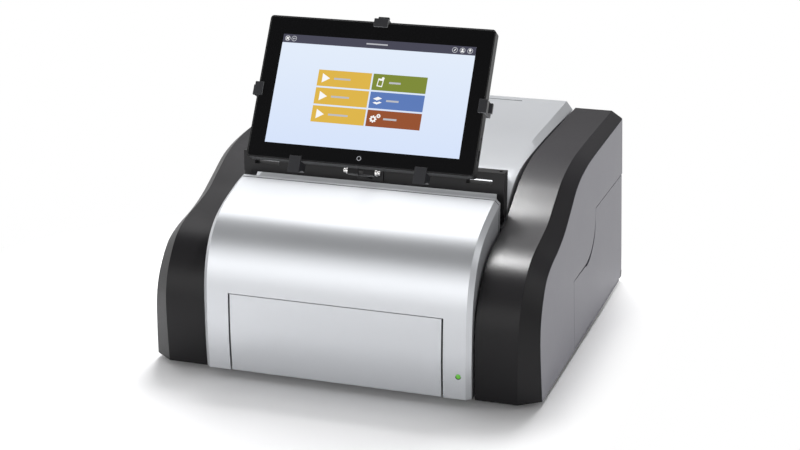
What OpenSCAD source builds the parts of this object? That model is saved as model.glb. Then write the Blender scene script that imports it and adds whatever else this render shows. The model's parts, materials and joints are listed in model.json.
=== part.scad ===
// Bench microplate reader: bulging front hood with a drop-down plate door, two
// S-curved side arches with drafted side panels, a rear lid and a tablet that
// tilts on a cradle. Lengths are in millimetres. Z is up and X is to the right.
// Modules work in the "bench frame": x = 0 on the centre line, y = 0 on the
// foremost face of the hood, z = 0 on the bench. from_front() moves them so that
// the origin lies under the middle of the footprint.

/* [Body] */
// Width over the side panels at their lower edge
body_w = 470; // [400:1:570]
// Depth from the hood's front face to the rear panel
body_d = 495; // [410:1:600]
// Height of the side arches at the rear
arch_h = 234; // [225:1:250]
// Width of each side arch, from its inner edge to the side panel
arch_w = 73; // [66:1:80]
// Width of the bevel along each arch at the bench
bevel_w = 24; // [18:1:30]
// Inward lean of each side panel per millimetre of height
side_draft = 0.042; // [0.02:0.001:0.06]
// Wall of the moulded shells
shell_wall = 3; // [2.4:0.1:3.6]
// Gap between neighbouring covers
cover_gap = 2; // [1:0.1:3]
// Height of the feet
foot_h = 6; // [5:0.5:10]
// Diameter of the feet
foot_d = 24; // [18:1:30]

/* [Front] */
// Height of the hood's rear edge
hood_h = 212.4; // [205:0.1:216]
// Distance from the hood's front face to its rear edge
hood_d = 116; // [112:1:120]
// Distance that the hood stands in front of the arches
hood_proud = 10; // [8:1:12]
// Width of the plate door
door_w = 255; // [230:1:262]
// Height of the plate door's upper edge above the bench
door_top = 103; // [98:1:108]
// Diameter of the status lamp
led_d = 6; // [4:0.5:8]
// Distance from the centre line to the status lamp
led_x = 146; // [144:1:148]
// Height of the status lamp
led_z = 37; // [30:1:60]

/* [Lid and yoke] */
// Height of the lid at the rear
lid_h = 242; // [240:1:252]
// Height of the yoke's upper face
yoke_top = 238; // [232:1:244]
// Depth of the yoke's bar, front to back
yoke_t = 16; // [12:1:18]
// Distance from the hood's rear edge to the yoke
yoke_gap = 14; // [12:1:16]

/* [Tablet] */
// Width of the tablet
tablet_w = 274.5; // [240:0.5:290]
// Height of the tablet's face
tablet_l = 173; // [160:0.5:185]
// Thickness of the tablet
tablet_t = 13.5; // [9:0.5:15]
// Angle of the tablet's face above the horizontal
tablet_tilt = 60.7; // [55:0.1:66]
// Width of the display
display_w = 234.4; // [200:0.1:250]
// Height of the display
display_l = 131.9; // [120:0.1:140]
// Diameter of the hinge axle
axle_d = 5; // [4:0.5:6]

/* [Plate drive] */
// Travel of the plate tray
tray_travel = 200; // [160:5:200]
// Length of the microplate's footprint, across the reader
plate_l = 127.76; // [127:0.01:128.5]
// Width of the microplate's footprint, front to back
plate_w = 85.48; // [85:0.01:86]
// Diameter of the two guide rods
rod_d = 10; // [8:0.5:12]
// Distance between the guide rods
rod_pitch = 140; // [120:1:150]
// Height of the rods and the lead screw above the bench
rod_z = 31; // [31:1:34]
// Diameter of the lead screw
screw_d = 8; // [6:0.5:10]
// Running clearance on rods, pins and axles, per side
run_gap = 0.08; // [0.02:0.01:0.1]

/* [Rear] */
// Side length of the fan's frame
fan_w = 60; // [50:1:80]
// Width of the power inlet's flange
inlet_w = 58; // [54:1:62]
// Height of the side bay behind the right-hand door
bay_h = 118; // [100:1:122]

/* [Hidden] */

round_fn = 64;
curve_steps = 4;

half_w = body_w / 2;
bay_x = half_w - arch_w;
hood_x = bay_x - cover_gap;
draft_angle = atan(side_draft);
arch_front = hood_proud;
function side_x(z) = half_w - side_draft * z;

// Height of the base tray's floor and everything that stands on it
tray_t = 3;
tray_z = foot_h + tray_t;
chassis_t = 2;
chassis_x = bay_x - 12;
chassis_h = 165;
chassis_front = 74;
rear_t = 3;

// Profiles of the covers, as [distance behind the front face, height]
arch_low = [
    [5, foot_h], [2, 40], [0, 80], [4, 106], [14, 128], [33, 151]
];
arch_high = [
    [60, 69], [98, 60], [130, 51], [160, 35], [196, 18], [244, 7.5], [312, 3.5]
];
crest_points = concat(
    [for (p = arch_low) [p[0] + arch_front, p[1]]],
    [for (p = arch_high) [p[0] + arch_front, arch_h - p[1]]],
    [[body_d, arch_h]]
);
bevel_low = [
    [24, foot_h], [20.5, 40], [18.5, 74], [22.5, 99], [33, 120], [50, 139]
];
bevel_high = [
    [76, 84], [112, 76], [144, 65], [176, 48], [212, 29], [258, 19], [322, 14.5]
];
bevel_points = concat(
    [for (p = bevel_low) [p[0] + arch_front, p[1]]],
    [for (p = bevel_high) [p[0] + arch_front, arch_h - p[1]]],
    [[body_d, arch_h - 9.5]]
);
// The hood's and the lid's curves run this far past their ends, where they are cut off flat
overrun = 20;
hood_bottom = 9;
hood_edge = 5.5;
hood_points = [
    [6, hood_bottom - overrun], [1, 45], [0.3, 75], [0.2, 100], [2, 122], [8, 144], [19, 165],
    [36, hood_h - 30.4], [58, hood_h - 18.4], [86, hood_h - 8.4], [hood_d, hood_h],
    [hood_d + overrun, hood_h + 2]
];
lid_front = hood_d + yoke_gap + yoke_t + 5;
lid_top_points = [
    [lid_front - 6, lid_h - 62], [lid_front, lid_h - 52], [lid_front + 5, lid_h - 44], [lid_front + 19, lid_h - 32],
    [lid_front + 46, lid_h - 20.5], [lid_front + 76, lid_h - 15.5],
    [lid_front + 113, lid_h - 11.5], [lid_front + 171, lid_h - 7],
    [lid_front + 239, lid_h - 4.4], [body_d, lid_h],
    [body_d + overrun, lid_h + 1]
];
lid_side_points = [
    [lid_front - 6, lid_h - 67], [lid_front, lid_h - 58], [lid_front + 5, lid_h - 51], [lid_front + 19, lid_h - 38],
    [lid_front + 46, lid_h - 24], [lid_front + 76, lid_h - 18],
    [lid_front + 113, lid_h - 15], [lid_front + 171, lid_h - 12.5],
    [lid_front + 239, lid_h - 11], [body_d, lid_h - 11],
    [body_d + overrun, lid_h - 11]
];
lid_x = bay_x - 3.5;
lid_edge = 8.5;

// One point of a Catmull-Rom curve
function blend_point(a, b, c, d, t) =
    0.5 * (2 * b + (c - a) * t + (2 * a - 5 * b + 4 * c - d) * t * t
    + (3 * b - a - 3 * c + d) * t * t * t);
// A smooth curve through the points of p
function smooth_curve(p) = concat(
    [for (i = [0 : len(p) - 2]) for (k = [0 : curve_steps - 1])
        blend_point(p[max(i - 1, 0)], p[i], p[i + 1], p[min(i + 2, len(p) - 1)], k / curve_steps)],
    [p[len(p) - 1]]
);
function unit(v) = v / norm(v);
// Direction of a curve at point i
function heading(c, i) = unit(c[min(i + 1, len(c) - 1)] - c[max(i - 1, 0)]);
// The curve moved inwards by depth. Its end stays in an upright plane, and its
// start in a level plane, or in an upright one too
function inset_curve(c, depth, level_start = true) = [
    for (i = [0 : len(c) - 1])
        let (h = heading(c, i))
        i == len(c) - 1 || (i == 0 && !level_start) ? c[i] - [0, depth / h[0]]
        : i == 0 ? c[i] + [depth / h[1], 0]
        : c[i] + depth * [h[1], -h[0]]
];
function lid_inset(c, depth) = inset_curve(c, depth, false);
// A rail at a constant distance from the centre line, or on the side plane less an inset
function flat_rail(c, x) = [for (q = c) [x, q[0], q[1]]];
function side_rail(c, inset) = [for (q = c) [side_x(q[1]) - inset, q[0], q[1]]];

crest = smooth_curve(crest_points);
bevel = smooth_curve(bevel_points);
hood_curve = smooth_curve(hood_points);
lid_top = smooth_curve(lid_top_points);
lid_side = smooth_curve(lid_side_points);
function hood_front(z) = lookup(z, [for (q = hood_curve) if (q[1] < 150) [q[1], q[0]]]);

// Hinges and the tablet's own frame
door_axis = [11, 15];
pin_d = 3;
lid_axis = [lid_front + 10, lid_h - 53];
tilt_axis = [98, 234];
tablet_base = [82, 244.8];
tablet_gap = 0.3;
cradle_t = 3;
cradle_back = tablet_t + tablet_gap;
axle_back = sin(tablet_tilt) * (tilt_axis[0] - tablet_base[0])
    - cos(tablet_tilt) * (tilt_axis[1] - tablet_base[1]);
axle_up = cos(tablet_tilt) * (tilt_axis[0] - tablet_base[0])
    + sin(tablet_tilt) * (tilt_axis[1] - tablet_base[1]);
yoke_front = hood_d + yoke_gap;
yoke_back = yoke_front + yoke_t;
yoke_x = bay_x - 1.8;
yoke_h = 25;
post_w = 9;
post_foot = 185;

// Side door outline, in the plane of the side panel
door_rear = body_d - 3;
side_door_front = body_d - 295;
side_door_mid = body_d - 169;
side_door_top = 149;
side_door_step = 93.5;
side_hinge_r = 4;
side_hinge_y = body_d - side_hinge_r;
seam = 0.8;

// Plate drive
tray_front = 95;
nest_gap = 0.4;
tray_w = plate_l + 17;
tray_y = plate_w + 16;
tray_z0 = rod_z + 17;
tray_h = 9;
sled_l = 60;
rod_front = 36;
block_t = 12;
sled_front = rod_front + block_t + tray_travel + 3;
rod_back = sled_front + sled_l + 26;
motor_w = 42.3;
motor_shaft = 5;

module from_front() translate([0, -body_d / 2, 0]) children();
// Extrudes a [y, z] outline from x0 to x1
module across(x0, x1) translate([x0, 0, 0]) rotate([90, 0, 90]) linear_extrude(x1 - x0) children();
module both_sides() { children(); mirror([1, 0, 0]) children(); }
// A round bar along X
module bar_x(y, z, x0, x1, d) translate([x0, y, z]) rotate([0, 90, 0]) cylinder(h = x1 - x0, d = d, $fn = round_fn);
// A round bar along Y
module bar_y(x, z, y0, y1, d) translate([x, y0, z]) rotate([-90, 0, 0]) cylinder(h = y1 - y0, d = d, $fn = round_fn);
module box(a, b) translate(a) cube(b - a);
// A slab in the plane of the right side panel, between two depths below its surface
module on_side(d0, d1)
    translate([half_w, 0, 0]) rotate([0, -draft_angle, 0]) translate([-d1, 0, 0])
        rotate([90, 0, 90]) linear_extrude(d1 - d0) children();
// A closed solid over a ring of rails with equal numbers of points
module railed(rails) {
    n = len(rails);
    m = len(rails[0]);
    points = [for (j = [0 : m - 1]) for (i = [0 : n - 1]) rails[i][j]];
    walls = [for (j = [0 : m - 2]) for (i = [0 : n - 1])
        let (k = (i + 1) % n) [j * n + k, j * n + i, (j + 1) * n + i, (j + 1) * n + k]];
    start = [[for (i = [0 : n - 1]) i]];
    finish = [[for (i = [n - 1 : -1 : 0]) (m - 1) * n + i]];
    polyhedron(points, concat(walls, start, finish), convexity = 8);
}
// The middle of a curved cover, between its outer and inner curves
skin_lap = 4;
module skin(outer, inner, x)
    across(-x, x) polygon(concat(outer, [for (i = [len(inner) - 1 : -1 : 0]) inner[i]]));
// Moves the tablet's frame (x across, y up its face, z out of its face) into place
module on_tablet()
    translate([0, tablet_base[0], tablet_base[1]]) rotate([tablet_tilt, 0, 0]) children();

// ---- Base and chassis ----

module base_tray() from_front() color("dimgray") {
    front = 20;
    step_y = arch_front + arch_low[0][0] + arch_lip + 1;
    corner = 30;
    side = half_w - side_draft * 30 - shell_wall - 0.3;
    rear = body_d - rear_t - 1;
    wall = [2, 20];
    step_x = hood_x - 2;
    difference() {
        union() {
            translate([0, 0, foot_h]) linear_extrude(tray_t) polygon([
                [-step_x, front], [step_x, front], [step_x, step_y], [side - corner, step_y],
                [side, step_y + corner], [side, rear], [-side, rear], [-side, step_y + corner],
                [-side + corner, step_y], [-step_x, step_y]
            ]);
            both_sides() box([side - wall[0], step_y + corner + 2, tray_z - 1], [side, side_door_front - 10, tray_z + wall[1]]);
            box([-side, side_door_front - 12, tray_z - 1], [-side + wall[0], rear - 60, tray_z + wall[1]]);
            // Lower socket for the side door's hinge pin
            box([half_w - 9, body_d - 11, foot_h], [half_w - 1, body_d, tray_z + 6.2]);
        }
        side_hinge_bar(tray_z - 1, tray_z + 10, pin_d + 0.1);
        for (x = [-1 : 1], y = [0 : 5])
            translate([x * 70 - 12, 300 + y * 14, foot_h - 1]) cube([24, 5, tray_t + 2]);
    }
}

module feet() from_front() color("black")
    for (x = [-1, 1], y = [50, body_d - 40])
        translate([x * (half_w - 48), y, 0]) cylinder(h = foot_h, d1 = foot_d - 3, d2 = foot_d, $fn = round_fn);

module chassis_wall() {
    rear = body_d - rear_t - 6;
    difference() {
        union() {
            box([chassis_x - chassis_t, chassis_front, tray_z], [chassis_x, rear, chassis_h]);
            box([chassis_x - 14, chassis_front, tray_z], [chassis_x, rear, tray_z + 2]);
            box([chassis_x - 14, lid_front + 30, chassis_h - 2], [chassis_x, rear, chassis_h]);
        }
        for (y = [chassis_front + 40 : 70 : rear - 40])
            bar_x(y, 120, chassis_x - 3, chassis_x + 1, 34);
    }
}
module chassis_right() from_front() color("silver") chassis_wall();
module chassis_left() from_front() color("silver") mirror([1, 0, 0]) chassis_wall();

bridge_top = 176;
module bridge() from_front() color("black") {
    y0 = hood_d + 4;
    y1 = lid_front + 26;
    wide = bay_x - 0.3;
    narrow = lid_x - 5;
    box([-wide, y0, bridge_top - 3], [wide, yoke_back, bridge_top]);
    box([-narrow, y0, bridge_top - 3], [narrow, y1, bridge_top]);
    box([-wide, y0, chassis_h], [wide, y0 + 2.5, bridge_top]);
    both_sides() box([chassis_x + 0.2, y0, 140], [chassis_x + 2.4, y1, bridge_top - 2]);
    for (x = [-100 : 40 : 100]) box([x - 1.2, y0, bridge_top - 12], [x + 1.2, y1, bridge_top - 1]);
}

deck_z = 104;
module optics_deck() from_front() color("gray") {
    x = chassis_x - chassis_t - 0.3;
    difference() {
        union() {
            box([-x, chassis_front + 10, deck_z], [x, body_d - 60, deck_z + 4]);
            both_sides() box([x - 2, chassis_front + 10, deck_z - 12], [x, body_d - 60, deck_z + 1]);
        }
        translate([0, tray_front + tray_y / 2, deck_z - 1]) cylinder(h = 6, d = 24, $fn = round_fn);
        for (x = [-1, 1]) translate([x * 90, body_d - 110, deck_z - 1]) cylinder(h = 6, d = 30, $fn = round_fn);
    }
}

// ---- Side arches and panels ----

arch_lip = 16;
flange = 12;
module arch() {
    w = shell_wall;
    railed([
        flat_rail(inset_curve(crest, arch_lip), bay_x),
        flat_rail(crest, bay_x),
        flat_rail(crest, half_w - bevel_w),
        side_rail(bevel, 0),
        side_rail(bevel, w + 0.2),
        side_rail(inset_curve(bevel, flange), w + 0.2),
        side_rail(inset_curve(bevel, flange), 2 * w),
        side_rail(inset_curve(bevel, 2), 2 * w),
        flat_rail(inset_curve(crest, w), half_w - bevel_w - 1.2),
        flat_rail(inset_curve(crest, w), bay_x + w),
        flat_rail(inset_curve(crest, arch_lip), bay_x + w)
    ]);
}
module arch_right() from_front() color("#2b2a2c") arch();
module arch_left() from_front() color("#2b2a2c") mirror([1, 0, 0]) arch();

rear_flange = arch_h - 10.5 - flange;
module panel_outline() {
    c = inset_curve(bevel, seam);
    polygon(concat(c, [[body_d, foot_h]]));
}
module side_panel_left() from_front() color("#8d8c93") mirror([1, 0, 0]) {
    on_side(0, shell_wall) panel_outline();
    on_side(0, 9) polygon([
        [body_d - shell_wall, foot_h], [body_d, foot_h], [body_d, rear_flange], [body_d - shell_wall, rear_flange]
    ]);
}

// Outline of the side door, grown by g; the finger scoop cuts its upper front corner
module side_door_outline(g) {
    scoop = [for (a = [0 : 10 : 90])
        [side_door_mid - 64 + 62 * sin(a), side_door_step + 44 - 44 * cos(a)]];
    offset_front = side_door_front - g;
    polygon(concat(
        [[body_d - side_hinge_r, foot_h + 3 - g], [offset_front, foot_h + 3 - g]],
        [[offset_front, side_door_step + g]],
        [for (q = scoop) q + [-g, g]],
        [[side_door_mid - g, side_door_top + g], [body_d - side_hinge_r, side_door_top + g]]
    ));
}
module side_panel_right() from_front() color("#8d8c93") {
    difference() {
        union() {
            on_side(0, shell_wall) difference() {
                panel_outline();
                side_door_outline(seam);
                translate([body_d - 20, 0]) square([30, side_door_top + seam]);
            }
            on_side(0, 9) polygon([
                [body_d - shell_wall, side_door_top + 2], [body_d, side_door_top + 2],
                [body_d, rear_flange], [body_d - shell_wall, rear_flange]
            ]);
            // Land that the door closes on, along the scoop and the front edge
            side_land(shell_wall - 0.5, 6, seam);
            side_land(shell_wall + 0.2, seam + 0.5, -3);
            // Upper socket for the door's hinge pin
            on_side(0, 2 * side_hinge_r) polygon([
                [side_hinge_y - 5, side_door_top + 2], [body_d, side_door_top + 2],
                [body_d, side_door_top + 14], [side_hinge_y - 5, side_door_top + 14]
            ]);
        }
        side_hinge_bar(side_door_top - 2, side_door_top + 10, pin_d + 0.1);
    }
}
// A band behind the side door's edge, from depth d0, between two offsets of its outline
module side_land(d0, outer, inner)
    on_side(d0, shell_wall + 2) difference() {
        side_door_outline(outer);
        side_door_outline(inner);
        translate([body_d - 30, 0]) square([40, 260]);
        square([600, foot_h + 8]);
    }
// A round bar on the side door's hinge line, between two heights
module side_hinge_bar(z0, z1, d)
    translate([half_w, side_hinge_y, 0]) rotate([0, -draft_angle, 0])
        translate([-side_hinge_r, 0, z0]) cylinder(h = z1 - z0, d = d, $fn = round_fn);
module side_door() from_front() color("#8d8c93") difference() {
    union() {
        on_side(0, shell_wall) side_door_outline(0);
        on_side(shell_wall - 1, shell_wall + 2.5) difference() {
            side_door_outline(-12);
            side_door_outline(-14);
        }
        side_hinge_bar(foot_h + 10, side_door_top - seam, 2 * side_hinge_r);
    }
    side_hinge_bar(foot_h, side_door_top + 5, pin_d + 2 * run_gap);
    on_side(-1, 12) polygon([
        [body_d - 12, 0], [body_d + 5, 0], [body_d + 5, foot_h + 10], [body_d - 12, foot_h + 10]
    ]);
}
module side_door_pins() from_front() color("silver")
    side_hinge_bar(tray_z - 1, side_door_top + 9, pin_d);

rack_wells = 3;
well_d = 30;
bay_y0 = side_door_front + 12;
bay_y1 = body_d - 40;
bay_inner = chassis_x + 6;
bay_outer = half_w - side_draft * 140 - 2 * shell_wall - 4;
module side_bay() from_front() color("#3a3a3d") difference() {
    box([bay_inner, bay_y0, tray_z], [bay_outer, bay_y1, tray_z + bay_h]);
    box([bay_inner + 2, bay_y0 + 2, tray_z + 2], [bay_outer + 1, bay_y1 - 2, tray_z + bay_h - 2]);
}
module bottle_rack() from_front() color("white") {
    x = (bay_inner + bay_outer) / 2 + 1;
    difference() {
        box([bay_inner + 4, bay_y0 + 14, tray_z + 2], [bay_outer - 1, bay_y0 + 14 + 40 * rack_wells, tray_z + 30]);
        for (i = [0 : rack_wells - 1])
            translate([x, bay_y0 + 34 + 40 * i, tray_z + 6]) cylinder(h = 40, d = well_d, $fn = round_fn);
    }
}

// ---- Hood and plate door ----

module hood() from_front() color("#d2d5da") difference() {
    w = shell_wall;
    rim = 12;
    edge_x = hood_x - hood_edge;
    inner = inset_curve(hood_curve, w);
    union() {
        skin(hood_curve, inner, edge_x - skin_lap);
        both_sides() railed([
            flat_rail(hood_curve, edge_x - skin_lap - 1),
            flat_rail(hood_curve, edge_x),
            flat_rail(inset_curve(hood_curve, hood_edge), hood_x),
            flat_rail(inset_curve(hood_curve, rim), hood_x),
            flat_rail(inset_curve(hood_curve, rim), hood_x - w),
            flat_rail(inset_curve(hood_curve, hood_edge + 1), hood_x - w),
            flat_rail(inner, edge_x - 1),
            flat_rail(inner, edge_x - skin_lap - 1)
        ]);
        // Side walls that close the gap down to the arches
        both_sides() across(hood_x - w + 0.2, hood_x - 0.2) polygon(concat(
            inset_curve(hood_curve, hood_edge + 3),
            [[hood_d + overrun, hood_h - 50], [70, 140], [38, 100], [32, hood_bottom - overrun]]
        ));
    }
    box([-half_w, -overrun, -2 * overrun], [half_w, hood_d, hood_bottom]);
    box([-half_w, hood_d, 0], [half_w, hood_d + 2 * overrun, lid_h]);
    box([-door_w / 2 - seam, -5, 0], [door_w / 2 + seam, 30, door_top + seam]);
    bar_y(led_x, led_z, -2, 8, led_d);
}

door_ear_x = 112;
ear_w = 8;
module plate_door() from_front() color("#c3c7ce") {
    w = shell_wall;
    low = hood_bottom + 0.5;
    steps = [for (i = [0 : 12]) low + (door_top - low) * i / 12];
    difference() {
        union() {
            across(-door_w / 2, door_w / 2) polygon(concat(
                [for (z = steps) [hood_front(z), z]],
                [for (i = [12 : -1 : 0]) [hood_front(steps[i]) + w, steps[i]]]
            ));
            for (z = [door_axis[1] + 12, door_top - 8])
                box([-door_w / 2 + 8, w - 0.4, z - 1], [door_w / 2 - 8, w + 4, z + 1]);
            both_sides() for (x = [40, door_w / 2 - 10])
                box([x - 1, w - 0.4, door_axis[1] + 12], [x + 1, w + 4, door_top - 8]);
            both_sides() {
                bar_x(door_axis[0], door_axis[1], door_ear_x, door_ear_x + ear_w, 7);
                box([door_ear_x, w + 1, door_axis[1] - 2], [door_ear_x + ear_w, door_axis[0] + 2, door_axis[1] + 12]);
            }
        }
        both_sides() bar_x(door_axis[0], door_axis[1], door_ear_x - 1, door_ear_x + ear_w + 1, pin_d + 2 * run_gap);
    }
}
module door_pins() from_front() color("silver")
    both_sides() bar_x(door_axis[0], door_axis[1], door_ear_x - 8, door_ear_x + ear_w + 5, pin_d);
module door_brackets() from_front() color("dimgray") both_sides() difference() {
    union() {
        for (x = [door_ear_x - 6, door_ear_x + ear_w + 0.6]) {
            bar_x(door_axis[0], door_axis[1], x, x + 5.2, 7);
            box([x, door_axis[0], door_axis[1] - 3.5], [x + 5.2, 24, door_axis[1] + 3.5]);
        }
        box([door_ear_x - 6, 20, tray_z], [door_ear_x + ear_w + 5.8, 30, door_axis[1] + 3.5]);
    }
    bar_x(door_axis[0], door_axis[1], door_ear_x - 10, door_ear_x + ear_w + 10, pin_d + 0.1);
}
module status_lens() from_front() color("limegreen") {
    face = hood_front(led_z);
    bar_y(led_x, led_z, face - 0.3, face + shell_wall + 1, led_d - 0.3);
    bar_y(led_x, led_z, face + shell_wall + 0.5, face + shell_wall + 2.5, led_d + 3);
}

slot_w = tray_w + 10;
slot_z0 = tray_z0 - 5;
slot_z1 = tray_z0 + tray_h + 15;
bezel_y = 32;
module drawer_bezel() from_front() color("black") difference() {
    union() {
        box([-chassis_x, bezel_y, tray_z], [chassis_x, bezel_y + 2.5, door_top + 12]);
        box([-slot_w / 2 - 3, bezel_y - 5, slot_z0 - 3], [slot_w / 2 + 3, bezel_y + 2.5, slot_z1 + 3]);
        both_sides() box([chassis_x - 2.4, bezel_y, tray_z], [chassis_x, chassis_front - 0.2, door_top + 12]);
    }
    box([-slot_w / 2, bezel_y - 6, slot_z0], [slot_w / 2, bezel_y + 4, slot_z1]);
}

// ---- Rear lid ----

module rear_lid() from_front() color("#d2d5da") {
    w = shell_wall;
    deep = 16;
    ear_x = 120;
    edge_x = lid_x - lid_edge;
    inner = lid_inset(lid_top, w);
    difference() {
        union() {
            skin(lid_top, inner, edge_x - skin_lap);
            both_sides() railed([
                flat_rail(lid_top, edge_x - skin_lap - 1),
                flat_rail(lid_top, edge_x),
                flat_rail(lid_side, lid_x),
                flat_rail(lid_inset(lid_side, deep), lid_x),
                flat_rail(lid_inset(lid_side, deep), lid_x - w),
                flat_rail(lid_inset(lid_side, 2), lid_x - w),
                flat_rail(inner, edge_x - 1),
                flat_rail(inner, edge_x - skin_lap - 1)
            ]);
            translate([0, body_d + overrun, 0]) rotate([90, 0, 0]) linear_extrude(w + overrun) polygon([
                [-lid_x, rear_top + 0.3], [lid_x, rear_top + 0.3], [lid_x, lid_h - 11],
                [lid_x - lid_edge, lid_h], [-lid_x + lid_edge, lid_h], [-lid_x, lid_h - 11]
            ]);
            both_sides() for (x = [ear_x, ear_x + 20]) {
                bar_x(lid_axis[0], lid_axis[1], x, x + 5, 9);
                across(x, x + 5) polygon([
                    lid_axis + [-4, 1], lid_axis + [2, 12.5], lid_axis + [14, 21.5],
                    lid_axis + [26, 26.5], lid_axis + [26, 14], lid_axis + [6, -4]
                ]);
            }
        }
        box([-half_w, lid_front - 2 * overrun, 0], [half_w, lid_front, lid_h]);
        box([-half_w, body_d, 0], [half_w, body_d + 2 * overrun, lid_h + overrun]);
        both_sides() bar_x(lid_axis[0], lid_axis[1], ear_x - 1, ear_x + 30, pin_d + 1 + 2 * run_gap);
        box([-93, body_d - 17, lid_h - 5], [93, body_d - 13.5, lid_h + 5]);
    }
}
module lid_pins() from_front() color("silver")
    both_sides() bar_x(lid_axis[0], lid_axis[1], 116, 149, pin_d + 1);
module lid_brackets() from_front() color("dimgray") both_sides() difference() {
    union() {
        bar_x(lid_axis[0], lid_axis[1], 126, 139, 9);
        across(126, 139) polygon([
            lid_axis + [0, -4.5], lid_axis + [4.5, 0], lid_axis + [15, -8],
            lid_axis + [15, bridge_top - lid_axis[1]], lid_axis + [3, bridge_top - lid_axis[1]]
        ]);
        box([122, lid_axis[0] + 3, bridge_top], [144, lid_axis[0] + 15, bridge_top + 3]);
    }
    bar_x(lid_axis[0], lid_axis[1], 110, 150, pin_d + 1.1);
}

// ---- Rear panel and what it carries ----

vent_x = -116;
vent_z = 92;
inlet_x = 128;
inlet_z = 56;
port_x = 20;
port_z = 60;
rear_y = body_d - 1;
rear_top = arch_h - 7;
module rear_panel() from_front() color("dimgray") {
    margin = 9.6;
    foot_x = side_x(foot_h + 3) - margin;
    top_x = side_x(arch_h - 24) - margin;
    difference() {
        translate([0, rear_y, 0]) rotate([90, 0, 0]) linear_extrude(rear_t) polygon([
            [-foot_x, foot_h + 3.2], [foot_x, foot_h + 3.2], [top_x, arch_h - 24],
            [half_w - bevel_w - 5, rear_top], [-half_w + bevel_w + 5, rear_top], [-top_x, arch_h - 24]
        ]);
        // Fan grille: rings of slots between four spokes
        for (r = [8 : 6 : 26]) for (a = [0 : 90 : 270])
            translate([vent_x, rear_y + 1, vent_z]) rotate([90, a + 10, 0]) linear_extrude(rear_t + 2)
                intersection() {
                    difference() { circle(r + 3.4, $fn = round_fn); circle(r, $fn = round_fn); }
                    polygon([[0, 0], [60, 0], [60, 60], [10, 60]]);
                }
        // Notches for the lid's side walls and the arches' inner edges
        both_sides() box([lid_x - 4, body_d - 6, arch_h - 20.5], [bay_x + 4.5, body_d + 1, arch_h]);
        // Louvres of the air inlet
        for (i = [0 : 8]) box([-170 + 14 * i, body_d - 6, 176], [-164 + 14 * i, body_d + 1, 206]);
        box([inlet_x - 14.5, body_d - 6, inlet_z - 10.5], [inlet_x + 14.5, body_d + 1, inlet_z + 10.5]);
        box([inlet_x - 11, body_d - 6, inlet_z + 19], [inlet_x + 11, body_d + 1, inlet_z + 33]);
        box([port_x - 34, body_d - 6, port_z - 7], [port_x + 34, body_d + 1, port_z + 7]);
        for (x = [-1, 1], z = [24, arch_h - 30]) bar_y(x * 190, z, body_d - 6, body_d + 1, 4.2);
    }
}
// Appliance inlet with three flat pins above, and the switch frame on top of it
module power_inlet() from_front() color("black") difference() {
    union() {
        box([inlet_x - inlet_w / 2, rear_y, inlet_z - 16], [inlet_x + inlet_w / 2, body_d, inlet_z + 38]);
        box([inlet_x - 14, rear_y - 26, inlet_z - 10], [inlet_x + 14, body_d, inlet_z + 10]);
        box([inlet_x - 10.6, rear_y - 20, inlet_z + 19.4], [inlet_x + 10.6, body_d, inlet_z + 32.6]);
    }
    difference() {
        box([inlet_x - 12, body_d - 18, inlet_z - 8], [inlet_x + 12, body_d + 1, inlet_z + 8]);
        for (x = [-7, 0, 7]) box([inlet_x + x - 1, body_d - 19, inlet_z - 2.5 + (x == 0 ? 3 : 0)],
            [inlet_x + x + 1, body_d - 3, inlet_z + 1.5 + (x == 0 ? 3 : 0)]);
    }
    box([inlet_x - 9, body_d - 12, inlet_z + 20.5], [inlet_x + 9, body_d + 1, inlet_z + 31.5]);
    for (x = [-1, 1]) bar_y(inlet_x + x * (inlet_w / 2 - 5), inlet_z, body_d - 4, body_d + 1, 3.4);
}
switch_y = body_d - 5;
module switch_rocker() from_front() color("#1c1c1c") {
    z = inlet_z + 26;
    bar_x(switch_y, z, inlet_x - 8.6, inlet_x + 8.6, 5);
    across(inlet_x - 8.2, inlet_x + 8.2) polygon([
        [switch_y - 1.5, z - 4], [switch_y + 3.4, z - 4.3], [switch_y + 2.2, z], [switch_y + 3.4, z + 4.3],
        [switch_y - 1.5, z + 4]
    ]);
}
module port_block() from_front() color("silver") difference() {
    box([port_x - 33.6, body_d - 16, port_z - 6.6], [port_x + 33.6, body_d - 0.6, port_z + 6.6]);
    for (x = [-24, -4]) box([port_x + x - 6.2, body_d - 14, port_z - 2.4], [port_x + x + 6.2, body_d + 1, port_z + 2.4]);
    box([port_x + 12, body_d - 14, port_z - 4], [port_x + 20, body_d + 1, port_z + 4]);
    bar_y(port_x + 27, port_z, body_d - 12, body_d + 1, 6);
}
fan_y = rear_y - rear_t;
fan_t = 25;
module cooling_fan() from_front() color("#222222") difference() {
    translate([vent_x - fan_w / 2, fan_y - fan_t, vent_z - fan_w / 2]) cube([fan_w, fan_t, fan_w]);
    difference() {
        bar_y(vent_x, vent_z, fan_y - fan_t - 1, fan_y + 1, fan_w - 3);
        bar_y(vent_x, vent_z, fan_y - fan_t, fan_y - fan_t + 4, 26);
        for (a = [0 : 120 : 240]) translate([vent_x, 0, vent_z]) rotate([0, a, 0])
            box([-1.5, fan_y - fan_t, 0], [1.5, fan_y - fan_t + 4, fan_w / 2]);
    }
    bar_y(vent_x, vent_z, fan_y - fan_t - 1, fan_y, 5 + 2 * run_gap);
    for (x = [-1, 1], z = [-1, 1])
        bar_y(vent_x + x * (fan_w / 2 - 5), vent_z + z * (fan_w / 2 - 5), fan_y - fan_t - 1, fan_y + 1, 4);
}
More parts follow.
